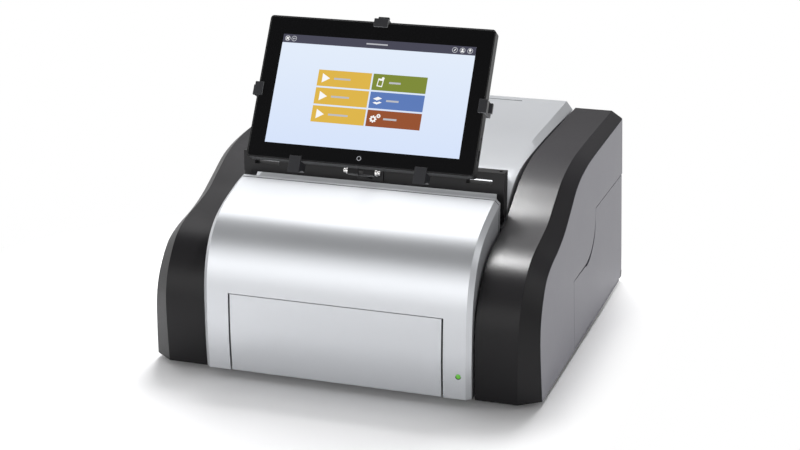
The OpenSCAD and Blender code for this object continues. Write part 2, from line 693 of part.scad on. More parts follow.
module fan_rotor() from_front() color("#303030") {
    hub = fan_y - fan_t + 5;
    bar_y(vent_x, vent_z, fan_y - fan_t + 0.5, hub + 1, 5);
    bar_y(vent_x, vent_z, hub, fan_y - 3, 27);
    for (i = [0 : 6])
        translate([vent_x, 0, vent_z]) rotate([0, i * 360 / 7, 0]) translate([0, hub + 8, 12])
            rotate([0, 0, 38]) translate([-9, -0.7, 0]) cube([18, 1.4, fan_w / 2 - 16]);
}

// ---- Yoke and tablet hinge ----

slot_x0 = yoke_x - 45;
module yoke() from_front() color("#242325") {
    difference() {
        union() {
            box([-yoke_x, yoke_front, yoke_top - yoke_h], [yoke_x, yoke_back, yoke_top]);
            both_sides() {
                box([yoke_x - post_w, yoke_front + 2, post_foot + 5], [yoke_x, yoke_back, yoke_top - 5]);
                bar_x(yoke_front + 9, post_foot + 5, yoke_x - post_w, yoke_x, yoke_t - 2);
                box([bay_x - 10, yoke_front + 4, bridge_top], [bay_x - 4.4, yoke_back - 2, post_foot + 5]);
            }
        }
        both_sides() {
            box([slot_x0, yoke_front - 1, yoke_top - 15], [slot_x0 + 31, yoke_back + 1, yoke_top - 9]);
            translate([yoke_x - 6, yoke_front + yoke_t / 2, yoke_top - 12]) cylinder(h = 20, d = 4.2, $fn = round_fn);
            translate([yoke_x + 2, yoke_front - 2, yoke_top + 2]) rotate([0, 45, 0]) cube([5, yoke_t + 4, 5], center = false);
        }
        box([-40, yoke_front - 1, yoke_top - 3], [40, yoke_front + 4, yoke_top + 1]);
    }
}
module yoke_screws() from_front() color("silver") both_sides() {
    x = yoke_x - 6;
    y = yoke_front + yoke_t / 2;
    difference() {
        translate([x, y, yoke_top - 11.9]) cylinder(h = 9, d = 4, $fn = round_fn);
        translate([x, y, yoke_top - 5]) cylinder(h = 5, d = 2.2, $fn = 6);
    }
}
tongue_w = 5.6;
knuckle_d = 10;
module hinge_arm() from_front() color("#2c2b2e") difference() {
    union() {
        bar_x(tilt_axis[0], tilt_axis[1], -tongue_w / 2, tongue_w / 2, knuckle_d);
        across(-tongue_w / 2, tongue_w / 2) polygon([
            tilt_axis + [0, knuckle_d / 2], [yoke_front - 3, yoke_top - 5], [yoke_front - 3, yoke_top - 20],
            tilt_axis + [0, -knuckle_d / 2]
        ]);
        box([-16, yoke_front - 4, yoke_top - 22], [16, yoke_front, yoke_top - 4]);
        for (x = [-11, 11]) bar_y(x, yoke_top - 13, yoke_front - 6, yoke_front - 3, 6);
    }
    bar_x(tilt_axis[0], tilt_axis[1], -10, 10, axle_d + 2 * run_gap);
}
clevis_gap = 0.4;
clevis_x = 16;
module hinge_axle() from_front() color("gold") {
    bar_x(tilt_axis[0], tilt_axis[1], -clevis_x - 3, clevis_x + 3, axle_d);
    both_sides() {
        bar_x(tilt_axis[0], tilt_axis[1], clevis_x + 0.2, clevis_x + 3, 7.6);
        bar_x(tilt_axis[0], tilt_axis[1], clevis_x + 3, clevis_x + 6, 5.6);
    }
}

// ---- Tablet cradle: y runs up the tablet's face, z out of the face ----

plate_w2 = 92;
plate_low = -6;
plate_high = 118;
module cradle_plate() from_front() color("#1f1f21") on_tablet() {
    z1 = -cradle_back;
    z0 = z1 - cradle_t;
    difference() {
        union() {
            box([-plate_w2, 4, z0], [plate_w2, plate_high, z1]);
            box([-clevis_x, plate_low, z0], [clevis_x, 8, z1]);
            // Channels that guide the sliding clip arms
            both_sides() for (y = [clip_side_y - 12, clip_side_y + 9])
                box([50, y, z0 - 5], [plate_w2, y + 3, z0 + 1]);
            for (x = [-12, 9]) box([x, 70, z0 - 5], [x + 3, plate_high, z0 + 1]);
            both_sides() {
                box([tongue_w / 2 + clevis_gap, axle_up - knuckle_d / 2, -axle_back], [clevis_x, axle_up + 8, z0 + 1]);
                translate([0, axle_up, -axle_back]) rotate([0, 90, 0]) translate([0, 0, tongue_w / 2 + clevis_gap])
                    cylinder(h = clevis_x - tongue_w / 2 - clevis_gap, d = knuckle_d, $fn = round_fn);
            }
        }
        translate([0, axle_up, -axle_back]) rotate([0, 90, 0])
            cylinder(h = 60, d = axle_d + 0.1, center = true, $fn = round_fn);
        box([-tongue_w / 2 - clevis_gap, plate_low - 1, z0 - 8], [tongue_w / 2 + clevis_gap, axle_up + knuckle_d, z1 + 1]);
        both_sides() for (y = [24 : 34 : 92]) box([26, y, z0 - 1], [44, y + 14, z1 + 1]);
    }
}
clip_side_y = 82;
clip_hold = 6.5;
clip_lip_t = 2.6;
arm_t = 2.4;
// One hook: back arm, side wall and front lip, reaching along +Y from the middle of the plate
module hook(edge, width, reach) {
    z_back = -cradle_back - cradle_t - arm_t - 0.4;
    box([-width / 2, reach, z_back], [width / 2, edge + 3.4, z_back + arm_t]);
    box([-width / 2, edge + 0.4, z_back], [width / 2, edge + 3.4, 0.4 + clip_lip_t]);
    difference() {
        box([-width / 2, edge - clip_hold, 0.4], [width / 2, edge + 3.4, 0.4 + clip_lip_t]);
        translate([width / 2 - 4, edge - clip_hold - 6, 0]) rotate([0, 0, -40]) cube([9, 9, 6]);
    }
    // Guard that stands off the hook's outer side
    box([-width / 2 + 2, edge + 3, -9], [width / 2 - 2, edge + 8, -5]);
}
module clip_top() from_front() color("#26272b") on_tablet() hook(tablet_l, 17, 78);
module clip_right() from_front() color("#3a3c42") on_tablet()
    translate([0, clip_side_y, 0]) rotate([0, 0, -90]) hook(tablet_w / 2, 16, 54);
module clip_left() from_front() color("#26272b") on_tablet() mirror([1, 0, 0])
    translate([0, clip_side_y, 0]) rotate([0, 0, -90]) hook(tablet_w / 2, 16, 54);
module clips_lower() from_front() color("#26272b") on_tablet() for (x = [-75.5, 75.5]) {
    z_back = -cradle_back - cradle_t;
    box([x - 7, -10, z_back], [x + 7, -0.4, 0.4 + clip_lip_t]);
    box([x - 7, -10, 0.4], [x + 7, 5, 0.4 + clip_lip_t]);
    box([x - 7, -10, z_back], [x + 7, 4, z_back + cradle_t]);
    across_tablet(x - 7, x + 7) polygon([[-10, -8], [-15, 0.4 + clip_lip_t], [-10, 0.4 + clip_lip_t]]);
}
module across_tablet(x0, x1) translate([x0, 0, 0]) rotate([90, 0, 90]) linear_extrude(x1 - x0) children();

glass_t = 0.8;
glass_lip = 1.2;
key_out = 0.9;
module round_slab(w, l, t, r) linear_extrude(t) hull()
    for (x = [-1, 1], y = [0, 1]) translate([x * (w / 2 - r), r + y * (l - 2 * r)]) circle(r, $fn = 32);
module tablet_body() from_front() color("#141416") on_tablet() difference() {
    translate([0, 0, -tablet_t]) round_slab(tablet_w, tablet_l, tablet_t, 4);
    translate([0, glass_lip, -glass_t - 0.1]) round_slab(tablet_w - 2 * glass_lip, tablet_l - 2 * glass_lip, 2, 3);
    box([60, tablet_l - 2.5, -8.3], [74, tablet_l + 1, -4.7]);
    box([88, tablet_l - 2.5, -8.3], [116, tablet_l + 1, -4.7]);
    box([tablet_w / 2 - 8, 20, -9], [tablet_w / 2 + 1, 32, -4.5]);
    translate([tablet_w / 2 + 1, 46, -7]) rotate([0, -90, 0]) cylinder(h = 10, d = 3.6, $fn = round_fn);
}
module tablet_glass() from_front() color("#0b0b0d") on_tablet()
    translate([0, glass_lip + 0.1, -glass_t]) round_slab(tablet_w - 2 * glass_lip - 0.2, tablet_l - 2 * glass_lip - 0.2, glass_t - 0.05, 2.9);
module power_key() from_front() color("#2a2a2d") on_tablet()
    box([60.3, tablet_l - 1.6, -8], [73.7, tablet_l + key_out, -5]);
module volume_key() from_front() color("#2a2a2d") on_tablet()
    box([88.5, tablet_l - 1.6, -8], [115.5, tablet_l + key_out, -5]);

// ---- Plate tray and drive ----

module plate_tray() from_front() color("#cfd2d6") {
    x = tray_w / 2;
    y1 = tray_front + tray_y;
    nest_x = plate_l / 2 + nest_gap;
    nest_y = plate_w / 2 + nest_gap;
    mid = tray_front + tray_y / 2;
    difference() {
        union() {
            box([-x, tray_front, tray_z0], [x, y1, tray_z0 + tray_h]);
            box([-40, y1 - 1, tray_z0], [40, sled_front + sled_l - 10, tray_z0 + 4]);
        }
        box([-nest_x, mid - nest_y, tray_z0 + 3], [nest_x, mid + nest_y, tray_z0 + tray_h + 1]);
        box([-nest_x + 8, mid - nest_y + 8, tray_z0 - 1], [nest_x - 8, mid + nest_y - 8, tray_z0 + 4]);
        for (s = [-1, 1]) translate([s * x, mid, tray_z0 + tray_h / 2])
            cylinder(h = tray_h + 2, d = 26, center = true, $fn = round_fn);
    }
}
// Sprung corner lever that pushes the microplate into its datum corner
module plate_clamp() from_front() color("silver")
    translate([tray_w / 2 - 4, tray_front + tray_y - 4, tray_z0 + tray_h]) {
        cylinder(h = 3, d = 6, $fn = round_fn);
        rotate([0, 0, 228]) translate([0, -1.5, 0]) cube([12, 3, 1.6]);
    }
module tray_sled() from_front() color("#50535a") difference() {
    union() {
        box([-rod_pitch / 2 - 14, sled_front, rod_z - 11], [rod_pitch / 2 + 14, sled_front + sled_l, rod_z + 11]);
        box([-44, sled_front, rod_z + 10], [44, sled_front + sled_l, tray_z0]);
        box([-40, sled_front + sled_l - 9.5, tray_z0 - 1], [40, sled_front + sled_l, tray_z0 + 4]);
    }
    for (x = [-1, 1]) bar_y(x * rod_pitch / 2, rod_z, sled_front - 1, sled_front + sled_l + 1, rod_d + 2 * run_gap);
    bar_y(0, rod_z, sled_front - 1, sled_front + sled_l + 1, screw_d + 2 * run_gap);
    both_sides() box([22, sled_front - 1, rod_z - 12], [rod_pitch / 2 - 14, sled_front + sled_l + 1, rod_z + 9]);
}
module guide_rods() from_front() color("silver")
    for (x = [-1, 1]) bar_y(x * rod_pitch / 2, rod_z, rod_front, rod_back, rod_d);
module rod_blocks() from_front() color("#6a6d74") for (y = [rod_front, rod_back - block_t]) difference() {
    union() {
        for (x = [-1, 1]) box([x * rod_pitch / 2 - 12, y, tray_z], [x * rod_pitch / 2 + 12, y + block_t, rod_z + 9]);
        box([-12, y, tray_z], [12, y + block_t, rod_z + 9]);
        box([-rod_pitch / 2, y, tray_z], [rod_pitch / 2, y + block_t, tray_z + 4]);
    }
    for (x = [-1, 1]) bar_y(x * rod_pitch / 2, rod_z, y - 1, y + block_t + 1, rod_d + 0.1);
    bar_y(0, rod_z, y - 1, y + block_t + 1, screw_d + 2 * run_gap);
}
motor_y = rod_back + 24;
module lead_screw() from_front() color("silver") {
    bar_y(0, rod_z, rod_front, motor_y - 1, screw_d);
    bar_y(0, rod_z, motor_y - 20, motor_y - 1, 18);
    bar_y(0, rod_z, motor_y - 2, motor_y + 20, motor_shaft);
}
module drive_motor() from_front() color("#3b3d42") {
    z0 = rod_z - motor_w / 2;
    difference() {
        union() {
            box([-motor_w / 2, motor_y, z0], [motor_w / 2, motor_y + 40, z0 + motor_w]);
            box([-motor_w / 2 - 8, motor_y, tray_z], [motor_w / 2 + 8, motor_y + 12, tray_z + 6]);
        }
        for (x = [-1, 1], z = [0, 1]) translate([x * motor_w / 2, motor_y + 26, z0 + z * motor_w])
            rotate([0, 45, 0]) cube([5, 28.1, 5], center = true);
        bar_y(0, rod_z, motor_y - 1, motor_y + 2, 22);
        bar_y(0, rod_z, motor_y, motor_y + 21, motor_shaft + 2 * run_gap);
    }
}

// ---- Optics ----

chamber_x = tray_w / 2 + 10;
chamber_y0 = tray_front - 8;
chamber_y1 = tray_front + tray_y + 8;
chamber_z0 = tray_z0 + tray_h + 18;
module read_chamber() from_front() color("#161617") difference() {
    union() {
        box([-chamber_x, chamber_y0, chamber_z0], [chamber_x, chamber_y1, deck_z]);
        both_sides() box([chamber_x - 2, chamber_y0 + 8, chamber_z0 + 4], [chassis_x - chassis_t - 2.8, chamber_y0 + 20, deck_z]);
    }
    box([-chamber_x + 3, chamber_y0 + 3, chamber_z0 - 1], [chamber_x - 3, chamber_y1 - 3, deck_z - 4]);
    translate([0, tray_front + tray_y / 2, deck_z - 10]) cylinder(h = 20, d = 12, $fn = round_fn);
}
head_y = tray_front + tray_y / 2;
module detector_module() from_front() color("#8a8d93") difference() {
    union() {
        translate([0, head_y, deck_z + 4]) cylinder(h = 12, d = 52, $fn = round_fn);
        box([-26, head_y - 26, deck_z + 16], [26, head_y + 40, deck_z + 22]);
        translate([0, head_y, deck_z + 22]) cylinder(h = 28, d = 40, $fn = round_fn);
        translate([0, head_y, deck_z + 50]) cylinder(h = 4, d = 30, $fn = round_fn);
    }
    translate([0, head_y, deck_z]) cylinder(h = 40, d = 12, $fn = round_fn);
}
wheel_x = 78;
wheel_y = head_y + 10;
wheel_d = 84;
filters = 6;
module filter_wheel() from_front() color("#2f3033") translate([wheel_x, wheel_y, deck_z]) {
    difference() {
        translate([0, 0, 26]) cylinder(h = 6, d = wheel_d, $fn = 96);
        for (i = [0 : filters - 1]) rotate([0, 0, i * 360 / filters])
            translate([29, 0, 25]) cylinder(h = 8, d = 18, $fn = round_fn);
    }
    translate([0, 0, 26]) cylinder(h = 14, d = 18, $fn = round_fn);
    translate([0, 0, 10]) cylinder(h = 20, d = motor_shaft, $fn = round_fn);
}
module filter_motor() from_front() color("#3b3d42") translate([wheel_x, wheel_y, deck_z + 4]) difference() {
    cylinder(h = 20, d = 35, $fn = round_fn);
    translate([0, 0, 5]) cylinder(h = 20, d = motor_shaft + 2 * run_gap, $fn = round_fn);
}
module lamp_module() from_front() color("#7c7f86") {
    y = body_d - 170;
    difference() {
        union() {
            box([-122, y, deck_z + 4], [-36, y + 72, deck_z + 46]);
            for (i = [0 : 7]) box([-120 + i * 11, y + 2, deck_z + 45], [-116 + i * 11, y + 70, deck_z + 56]);
        }
        bar_y(-79, deck_z + 25, y - 1, y + 30, 22);
    }
}
module main_board() from_front() color("darkgreen") {
    y = body_d - 168;
    box([-14, y, deck_z + 10], [126, y + 96, deck_z + 11.6]);
    for (a = [0, 1], b = [0, 1]) translate([-8 + a * 128, y + 6 + b * 84, deck_z + 4]) cylinder(h = 6, d = 6, $fn = round_fn);
    box([20, y + 30, deck_z + 11.6], [50, y + 60, deck_z + 14]);
    box([70, y + 20, deck_z + 11.6], [84, y + 80, deck_z + 18]);
    for (i = [0 : 3]) translate([100, y + 20 + 14 * i, deck_z + 11.6]) cylinder(h = 14, d = 10, $fn = round_fn);
}
module power_supply() from_front() color("#9a9ca1") {
    y = body_d - 118;
    difference() {
        box([34, y, tray_z], [134, y + 90, tray_z + 60]);
        box([36, y - 1, tray_z + 2], [132, y + 88, tray_z + 58]);
    }
    box([44, y + 8, tray_z + 1], [84, y + 60, tray_z + 40]);
}

// ---- Assembly ----

base_tray();
feet();
chassis_left();
chassis_right();
bridge();
optics_deck();
arch_left();
arch_right();
side_panel_left();
side_panel_right();
side_door();
side_door_pins();
side_bay();
bottle_rack();
hood();
plate_door();
door_pins();
door_brackets();
status_lens();
drawer_bezel();
rear_lid();
lid_pins();
lid_brackets();
rear_panel();
power_inlet();
switch_rocker();
port_block();
cooling_fan();
fan_rotor();
yoke();
yoke_screws();
hinge_arm();
hinge_axle();
cradle_plate();
clip_top();
clip_left();
clip_right();
clips_lower();
tablet_body();
tablet_glass();
power_key();
volume_key();
plate_tray();
plate_clamp();
tray_sled();
guide_rods();
rod_blocks();
lead_screw();
drive_motor();
read_chamber();
detector_module();
filter_wheel();
filter_motor();
lamp_module();
main_board();
power_supply();
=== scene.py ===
"""Looks of a bench microplate reader, built round its CAD frame."""

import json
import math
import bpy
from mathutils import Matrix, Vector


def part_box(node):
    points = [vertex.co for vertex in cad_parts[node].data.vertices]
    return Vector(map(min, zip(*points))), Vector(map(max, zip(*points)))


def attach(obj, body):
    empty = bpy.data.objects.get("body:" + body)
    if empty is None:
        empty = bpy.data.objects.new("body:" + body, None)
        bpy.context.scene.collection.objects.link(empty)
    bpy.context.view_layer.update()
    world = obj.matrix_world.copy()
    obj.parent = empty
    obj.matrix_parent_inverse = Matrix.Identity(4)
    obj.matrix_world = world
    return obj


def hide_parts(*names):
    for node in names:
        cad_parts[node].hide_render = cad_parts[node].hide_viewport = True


bl_info = {
    "name": "Microplate Reader Looks",
    "version": (1, 0, 0),
    "blender": (4, 5, 0),
    "location": "View3D > Sidebar > Reader",
    "description": "Builds the covers, screen, finishes and stage of a bench microplate reader",
    "category": "Object",
}

import bmesh
import bpy
from mathutils import Matrix, Vector

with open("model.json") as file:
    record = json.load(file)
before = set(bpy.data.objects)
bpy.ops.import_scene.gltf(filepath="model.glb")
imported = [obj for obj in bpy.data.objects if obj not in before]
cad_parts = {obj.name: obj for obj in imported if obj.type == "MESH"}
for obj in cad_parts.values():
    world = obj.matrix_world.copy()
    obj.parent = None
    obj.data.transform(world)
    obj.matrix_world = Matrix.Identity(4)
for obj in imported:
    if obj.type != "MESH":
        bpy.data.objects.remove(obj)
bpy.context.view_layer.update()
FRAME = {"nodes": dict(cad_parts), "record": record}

MM = 0.001
# Lengths in the tables below are in millimetres, in the part's own bench frame:
# y = 0 on the hood's foremost face and z = 0 on the bench.
HALF_DEPTH = 247.5
NODE_BODY = {
    node: body
    for body, nodes in FRAME["record"]["behaviour"]["bodies"].items()
    for node in nodes
}
NODE_SLOT = {s["node"]: s["material_slot"] for s in FRAME["record"]["subparts"]}


# Bodies and pieces above the hood that its paint doesn't mirror
UNREFLECTED_BODIES = (
    "cradle", "top_clip", "left_clip", "right_clip", "power_button", "volume_button",
)
UNREFLECTED_PIECES = ("hinge_arm_finished",)


def bench(x, y, z):
    """A point of the bench frame, in metres in the row frame."""
    return Vector((x * MM, (y - HALF_DEPTH) * MM, z * MM))


# ---- Shader groups and finishes ----

MOTTLE_SCALE = 12.0
FINE_MOTTLE_TIMES = 14.0
FINE_MOTTLE_SHARE = 0.35
GRAIN_SCALE = 900.0
GRAIN_NOISE_SHARE = 0.5
BRUSH_STRETCH = (0.03, 1.0, 1.0)
BUMP_DISTANCE = 0.0004
LEAST_ROUGHNESS = 0.02
COAT_ROUGHNESS = 0.15
LIT_BASE = (0.01, 0.01, 0.01, 1)
LIT_ROUGHNESS = 0.12
LIT_NOISE_SCALE = 40.0
LIT_DIM = 0.97
LAMP_GREEN = (0.10, 0.40, 0.03)
# Heights in metres between which the display's colour turns from low to high
DISPLAY_FADE = (0.262, 0.372)


def new_group(name, inputs, outputs):
    """An empty shader group with named sockets, and its input and output nodes."""
    group = bpy.data.node_groups.new(name, "ShaderNodeTree")
    for label, kind, default in inputs:
        socket = group.interface.new_socket(label, in_out="INPUT", socket_type=kind)
        if default is not None:
            socket.default_value = default
    for label, kind in outputs:
        group.interface.new_socket(label, in_out="OUTPUT", socket_type=kind)
    return group, group.nodes.new("NodeGroupInput"), group.nodes.new("NodeGroupOutput")


def mottle_group():
    """Slow, soft variation of a painted or moulded surface, from 0 to 1."""
    group, source, sink = new_group(
        "surface_mottle",
        [("Vector", "NodeSocketVector", None), ("Scale", "NodeSocketFloat", MOTTLE_SCALE)],
        [("Factor", "NodeSocketFloat")],
    )
    wide = group.nodes.new("ShaderNodeTexNoise")
    wide.inputs["Detail"].default_value = 3.0
    fine = group.nodes.new("ShaderNodeTexNoise")
    fine.inputs["Detail"].default_value = 2.0
    times = group.nodes.new("ShaderNodeMath")
    times.operation = "MULTIPLY"
    times.inputs[1].default_value = FINE_MOTTLE_TIMES
    blend = group.nodes.new("ShaderNodeMix")
    blend.inputs["Factor"].default_value = FINE_MOTTLE_SHARE
    link = group.links.new
    link(source.outputs["Vector"], wide.inputs["Vector"])
    link(source.outputs["Vector"], fine.inputs["Vector"])
    link(source.outputs["Scale"], wide.inputs["Scale"])
    link(source.outputs["Scale"], times.inputs[0])
    link(times.outputs[0], fine.inputs["Scale"])
    link(wide.outputs["Fac"], blend.inputs["A"])
    link(fine.outputs["Fac"], blend.inputs["B"])
    link(blend.outputs["Result"], sink.inputs["Factor"])
    return group


def grain_group():
    """Fine pebbled or sprayed texture, as a height from 0 to 1."""
    group, source, sink = new_group(
        "moulded_grain",
        [("Vector", "NodeSocketVector", None), ("Scale", "NodeSocketFloat", GRAIN_SCALE)],
        [("Height", "NodeSocketFloat")],
    )
    cells = group.nodes.new("ShaderNodeTexVoronoi")
    cells.feature = "SMOOTH_F1"
    noise = group.nodes.new("ShaderNodeTexNoise")
    noise.inputs["Detail"].default_value = 4.0
    blend = group.nodes.new("ShaderNodeMix")
    blend.inputs["Factor"].default_value = GRAIN_NOISE_SHARE
    link = group.links.new
    for node in (cells, noise):
        link(source.outputs["Vector"], node.inputs["Vector"])
        link(source.outputs["Scale"], node.inputs["Scale"])
    link(cells.outputs["Distance"], blend.inputs["A"])
    link(noise.outputs["Fac"], blend.inputs["B"])
    link(blend.outputs["Result"], sink.inputs["Height"])
    return group


def brushed_group():
    """Fine parallel scratches along X, as a height from 0 to 1."""
    group, source, sink = new_group(
        "brushed_lines",
        [("Vector", "NodeSocketVector", None), ("Scale", "NodeSocketFloat", GRAIN_SCALE)],
        [("Height", "NodeSocketFloat")],
    )
    stretch = group.nodes.new("ShaderNodeMapping")
    stretch.inputs["Scale"].default_value = BRUSH_STRETCH
    noise = group.nodes.new("ShaderNodeTexNoise")
    noise.inputs["Detail"].default_value = 3.0
    link = group.links.new
    link(source.outputs["Vector"], stretch.inputs["Vector"])
    link(stretch.outputs["Vector"], noise.inputs["Vector"])
    link(source.outputs["Scale"], noise.inputs["Scale"])
    link(noise.outputs["Fac"], sink.inputs["Height"])
    return group


GROUP_MAKERS = {"mottle": mottle_group, "grain": grain_group, "brushed": brushed_group}
GROUPS = {}


def group_node(tree, key):
    """Places one of the shared groups, built the first time it is asked for."""
    if key not in GROUPS:
        GROUPS[key] = GROUP_MAKERS[key]()
    node = tree.nodes.new("ShaderNodeGroup")
    node.node_tree = GROUPS[key]
    return node


def fade(tree, start, end):
    """A smooth step from 0 at start to 1 at end."""
    node = tree.nodes.new("ShaderNodeMapRange")
    node.interpolation_type = "SMOOTHSTEP"
    node.inputs["From Min"].default_value = start
    node.inputs["From Max"].default_value = end
    return node


def finish(name, colour, roughness, grain, metallic=0.0, spread=0.06, rough_spread=0.06,
           specular=0.5, coat=0.0):
    """A painted, moulded or metal finish with soft colour variation and a fine texture.

    grain holds the texture's group, its scale and the strength of its bump.
    """
    material = bpy.data.materials.new(name)
    material.use_nodes = True
    tree = material.node_tree
    shader = tree.nodes["Principled BSDF"]
    place = tree.nodes.new("ShaderNodeTexCoord")
    variation = group_node(tree, "mottle")
    variation.inputs["Scale"].default_value = MOTTLE_SCALE
    tint = tree.nodes.new("ShaderNodeMix")
    tint.data_type = "RGBA"
    tint.inputs["A"].default_value = (*[c * (1 - spread) for c in colour], 1)
    tint.inputs["B"].default_value = (*[min(1.0, c * (1 + spread)) for c in colour], 1)
    rough = tree.nodes.new("ShaderNodeMapRange")
    rough.inputs["To Min"].default_value = max(LEAST_ROUGHNESS, roughness - rough_spread)
    rough.inputs["To Max"].default_value = min(1.0, roughness + rough_spread)
    pattern, scale, strength = grain
    texture = group_node(tree, pattern)
    texture.inputs["Scale"].default_value = scale
    bump = tree.nodes.new("ShaderNodeBump")
    bump.inputs["Strength"].default_value = strength
    bump.inputs["Distance"].default_value = BUMP_DISTANCE
    link = tree.links.new
    link(place.outputs["Object"], variation.inputs["Vector"])
    link(place.outputs["Object"], texture.inputs["Vector"])
    link(variation.outputs["Factor"], tint.inputs["Factor"])
    link(variation.outputs["Factor"], rough.inputs["Value"])
    link(tint.outputs["Result"], shader.inputs["Base Color"])
    link(rough.outputs["Result"], shader.inputs["Roughness"])
    link(texture.outputs["Height"], bump.inputs["Height"])
    link(bump.outputs["Normal"], shader.inputs["Normal"])
    shader.inputs["Metallic"].default_value = metallic
    shader.inputs["Specular IOR Level"].default_value = specular
    shader.inputs["Coat Weight"].default_value = coat
    shader.inputs["Coat Roughness"].default_value = COAT_ROUGHNESS
    return material


def lit(name, colour, strength, low=None):
    """A lit area of the display, or a lamp. low is the colour at its lower end."""
    material = bpy.data.materials.new(name)
    material.use_nodes = True
    tree = material.node_tree
    shader = tree.nodes["Principled BSDF"]
    shader.inputs["Base Color"].default_value = LIT_BASE
    shader.inputs["Roughness"].default_value = LIT_ROUGHNESS
    shader.inputs["Emission Strength"].default_value = strength
    place = tree.nodes.new("ShaderNodeTexCoord")
    if low is None:
        noise = tree.nodes.new("ShaderNodeTexNoise")
        noise.inputs["Scale"].default_value = LIT_NOISE_SCALE
        factor = noise.outputs["Fac"]
        tree.links.new(place.outputs["Object"], noise.inputs["Vector"])
        low = [c * LIT_DIM for c in colour]
    else:
        split = tree.nodes.new("ShaderNodeSeparateXYZ")
        span = tree.nodes.new("ShaderNodeMapRange")
        span.inputs["From Min"].default_value = DISPLAY_FADE[0]
        span.inputs["From Max"].default_value = DISPLAY_FADE[1]
        tree.links.new(place.outputs["Object"], split.inputs["Vector"])
        tree.links.new(split.outputs["Z"], span.inputs["Value"])
        factor = span.outputs["Result"]
    tint = tree.nodes.new("ShaderNodeMix")
    tint.data_type = "RGBA"
    tint.inputs["A"].default_value = (*low, 1)
    tint.inputs["B"].default_value = (*colour, 1)
    tree.links.new(factor, tint.inputs["Factor"])
    tree.links.new(tint.outputs["Result"], shader.inputs["Emission Color"])
    return material


FINISHES = {
    "dark_moulding": dict(colour=(0.007, 0.0065, 0.0075), roughness=0.40,
                          grain=("grain", 1500.0, 0.22), specular=0.24),
    "panel_grey": dict(colour=(0.172, 0.169, 0.195), roughness=0.42, metallic=0.35,
                       grain=("grain", 2200.0, 0.05)),
    "cover_silver": dict(colour=(0.61, 0.625, 0.65), roughness=0.38, metallic=0.72,
                         grain=("grain", 2400.0, 0.035),
                         spread=0.012, rough_spread=0.02, specular=0.4),
    "chassis_sheet": dict(colour=(0.52, 0.53, 0.54), roughness=0.34, metallic=1.0,
                          grain=("brushed", 1400.0, 0.12)),
    "black_sheet": dict(colour=(0.022, 0.022, 0.024), roughness=0.5,
                        grain=("grain", 1300.0, 0.1)),
    "pan_grey": dict(colour=(0.10, 0.10, 0.11), roughness=0.55, grain=("grain", 1100.0, 0.2)),
    "foot_rubber": dict(colour=(0.018, 0.018, 0.018), roughness=0.8,
                        grain=("grain", 1800.0, 0.3)),
    "steel_rod": dict(colour=(0.72, 0.71, 0.70), roughness=0.18, metallic=1.0,
                      grain=("brushed", 1800.0, 0.04)),
    "rear_sheet": dict(colour=(0.24, 0.24, 0.25), roughness=0.5, metallic=0.2,
                       grain=("grain", 1500.0, 0.2)),
    "black_plastic": dict(colour=(0.016, 0.016, 0.017), roughness=0.45,
                          grain=("grain", 1600.0, 0.15)),
    "rocker_black": dict(colour=(0.012, 0.012, 0.012), roughness=0.2,
                         grain=("grain", 700.0, 0.02)),
    "port_metal": dict(colour=(0.60, 0.60, 0.61), roughness=0.25, metallic=1.0,
                       grain=("brushed", 1800.0, 0.06)),
    "rack_white": dict(colour=(0.72, 0.72, 0.70), roughness=0.45,
                       grain=("grain", 1200.0, 0.08)),
    "bay_grey": dict(colour=(0.06, 0.06, 0.066), roughness=0.5, grain=("grain", 1300.0, 0.15)),
    "yoke_black": dict(colour=(0.010, 0.0095, 0.0105), roughness=0.38,
                       grain=("grain", 1500.0, 0.12), specular=0.35),
    "clip_grey": dict(colour=(0.022, 0.0225, 0.026), roughness=0.38,
                      grain=("grain", 1700.0, 0.14), specular=0.4),
    "tablet_shell": dict(colour=(0.006, 0.006, 0.0065), roughness=0.42,
                         grain=("grain", 2000.0, 0.06), specular=0.3),
    "tablet_front": dict(colour=(0.003, 0.003, 0.0035), roughness=0.12,
                         grain=("grain", 500.0, 0.004), specular=0.3,
                         rough_spread=0.03),
    "tray_metal": dict(colour=(0.60, 0.61, 0.63), roughness=0.38, metallic=0.9,
                       grain=("grain", 2500.0, 0.1)),
    "sled_metal": dict(colour=(0.16, 0.17, 0.19), roughness=0.4, metallic=0.8,
                       grain=("brushed", 1200.0, 0.1)),
    "block_metal": dict(colour=(0.34, 0.35, 0.37), roughness=0.36, metallic=0.9,
                        grain=("brushed", 1000.0, 0.12)),
    "motor_dark": dict(colour=(0.035, 0.035, 0.04), roughness=0.4, metallic=0.3,
                       grain=("grain", 1300.0, 0.1)),
    "chamber_black": dict(colour=(0.014, 0.014, 0.014), roughness=0.7,
                          grain=("grain", 1200.0, 0.2)),
    "optics_metal": dict(colour=(0.45, 0.46, 0.48), roughness=0.38, metallic=0.9,
                         grain=("brushed", 1100.0, 0.1)),
    "board_green": dict(colour=(0.015, 0.16, 0.06), roughness=0.35,
                        grain=("grain", 400.0, 0.2), coat=0.3),
    "supply_case": dict(colour=(0.52, 0.52, 0.53), roughness=0.38, metallic=1.0,
                        grain=("brushed", 1200.0, 0.1)),
}
MATERIALS = {}


def material_for(slot):
    """The finish of one material slot of the record."""
    if slot not in MATERIALS:
        if slot == "lamp_green":
            MATERIALS[slot] = lit("lamp_green", LAMP_GREEN, 1.0)
        else:
            MATERIALS[slot] = finish(slot, **FINISHES[slot])
    return MATERIALS[slot]


# ---- Mesh tools ----


BEVEL_SEGMENTS = 3
BEVEL_ANGLE = math.radians(30)
NORMAL_WEIGHT = 60


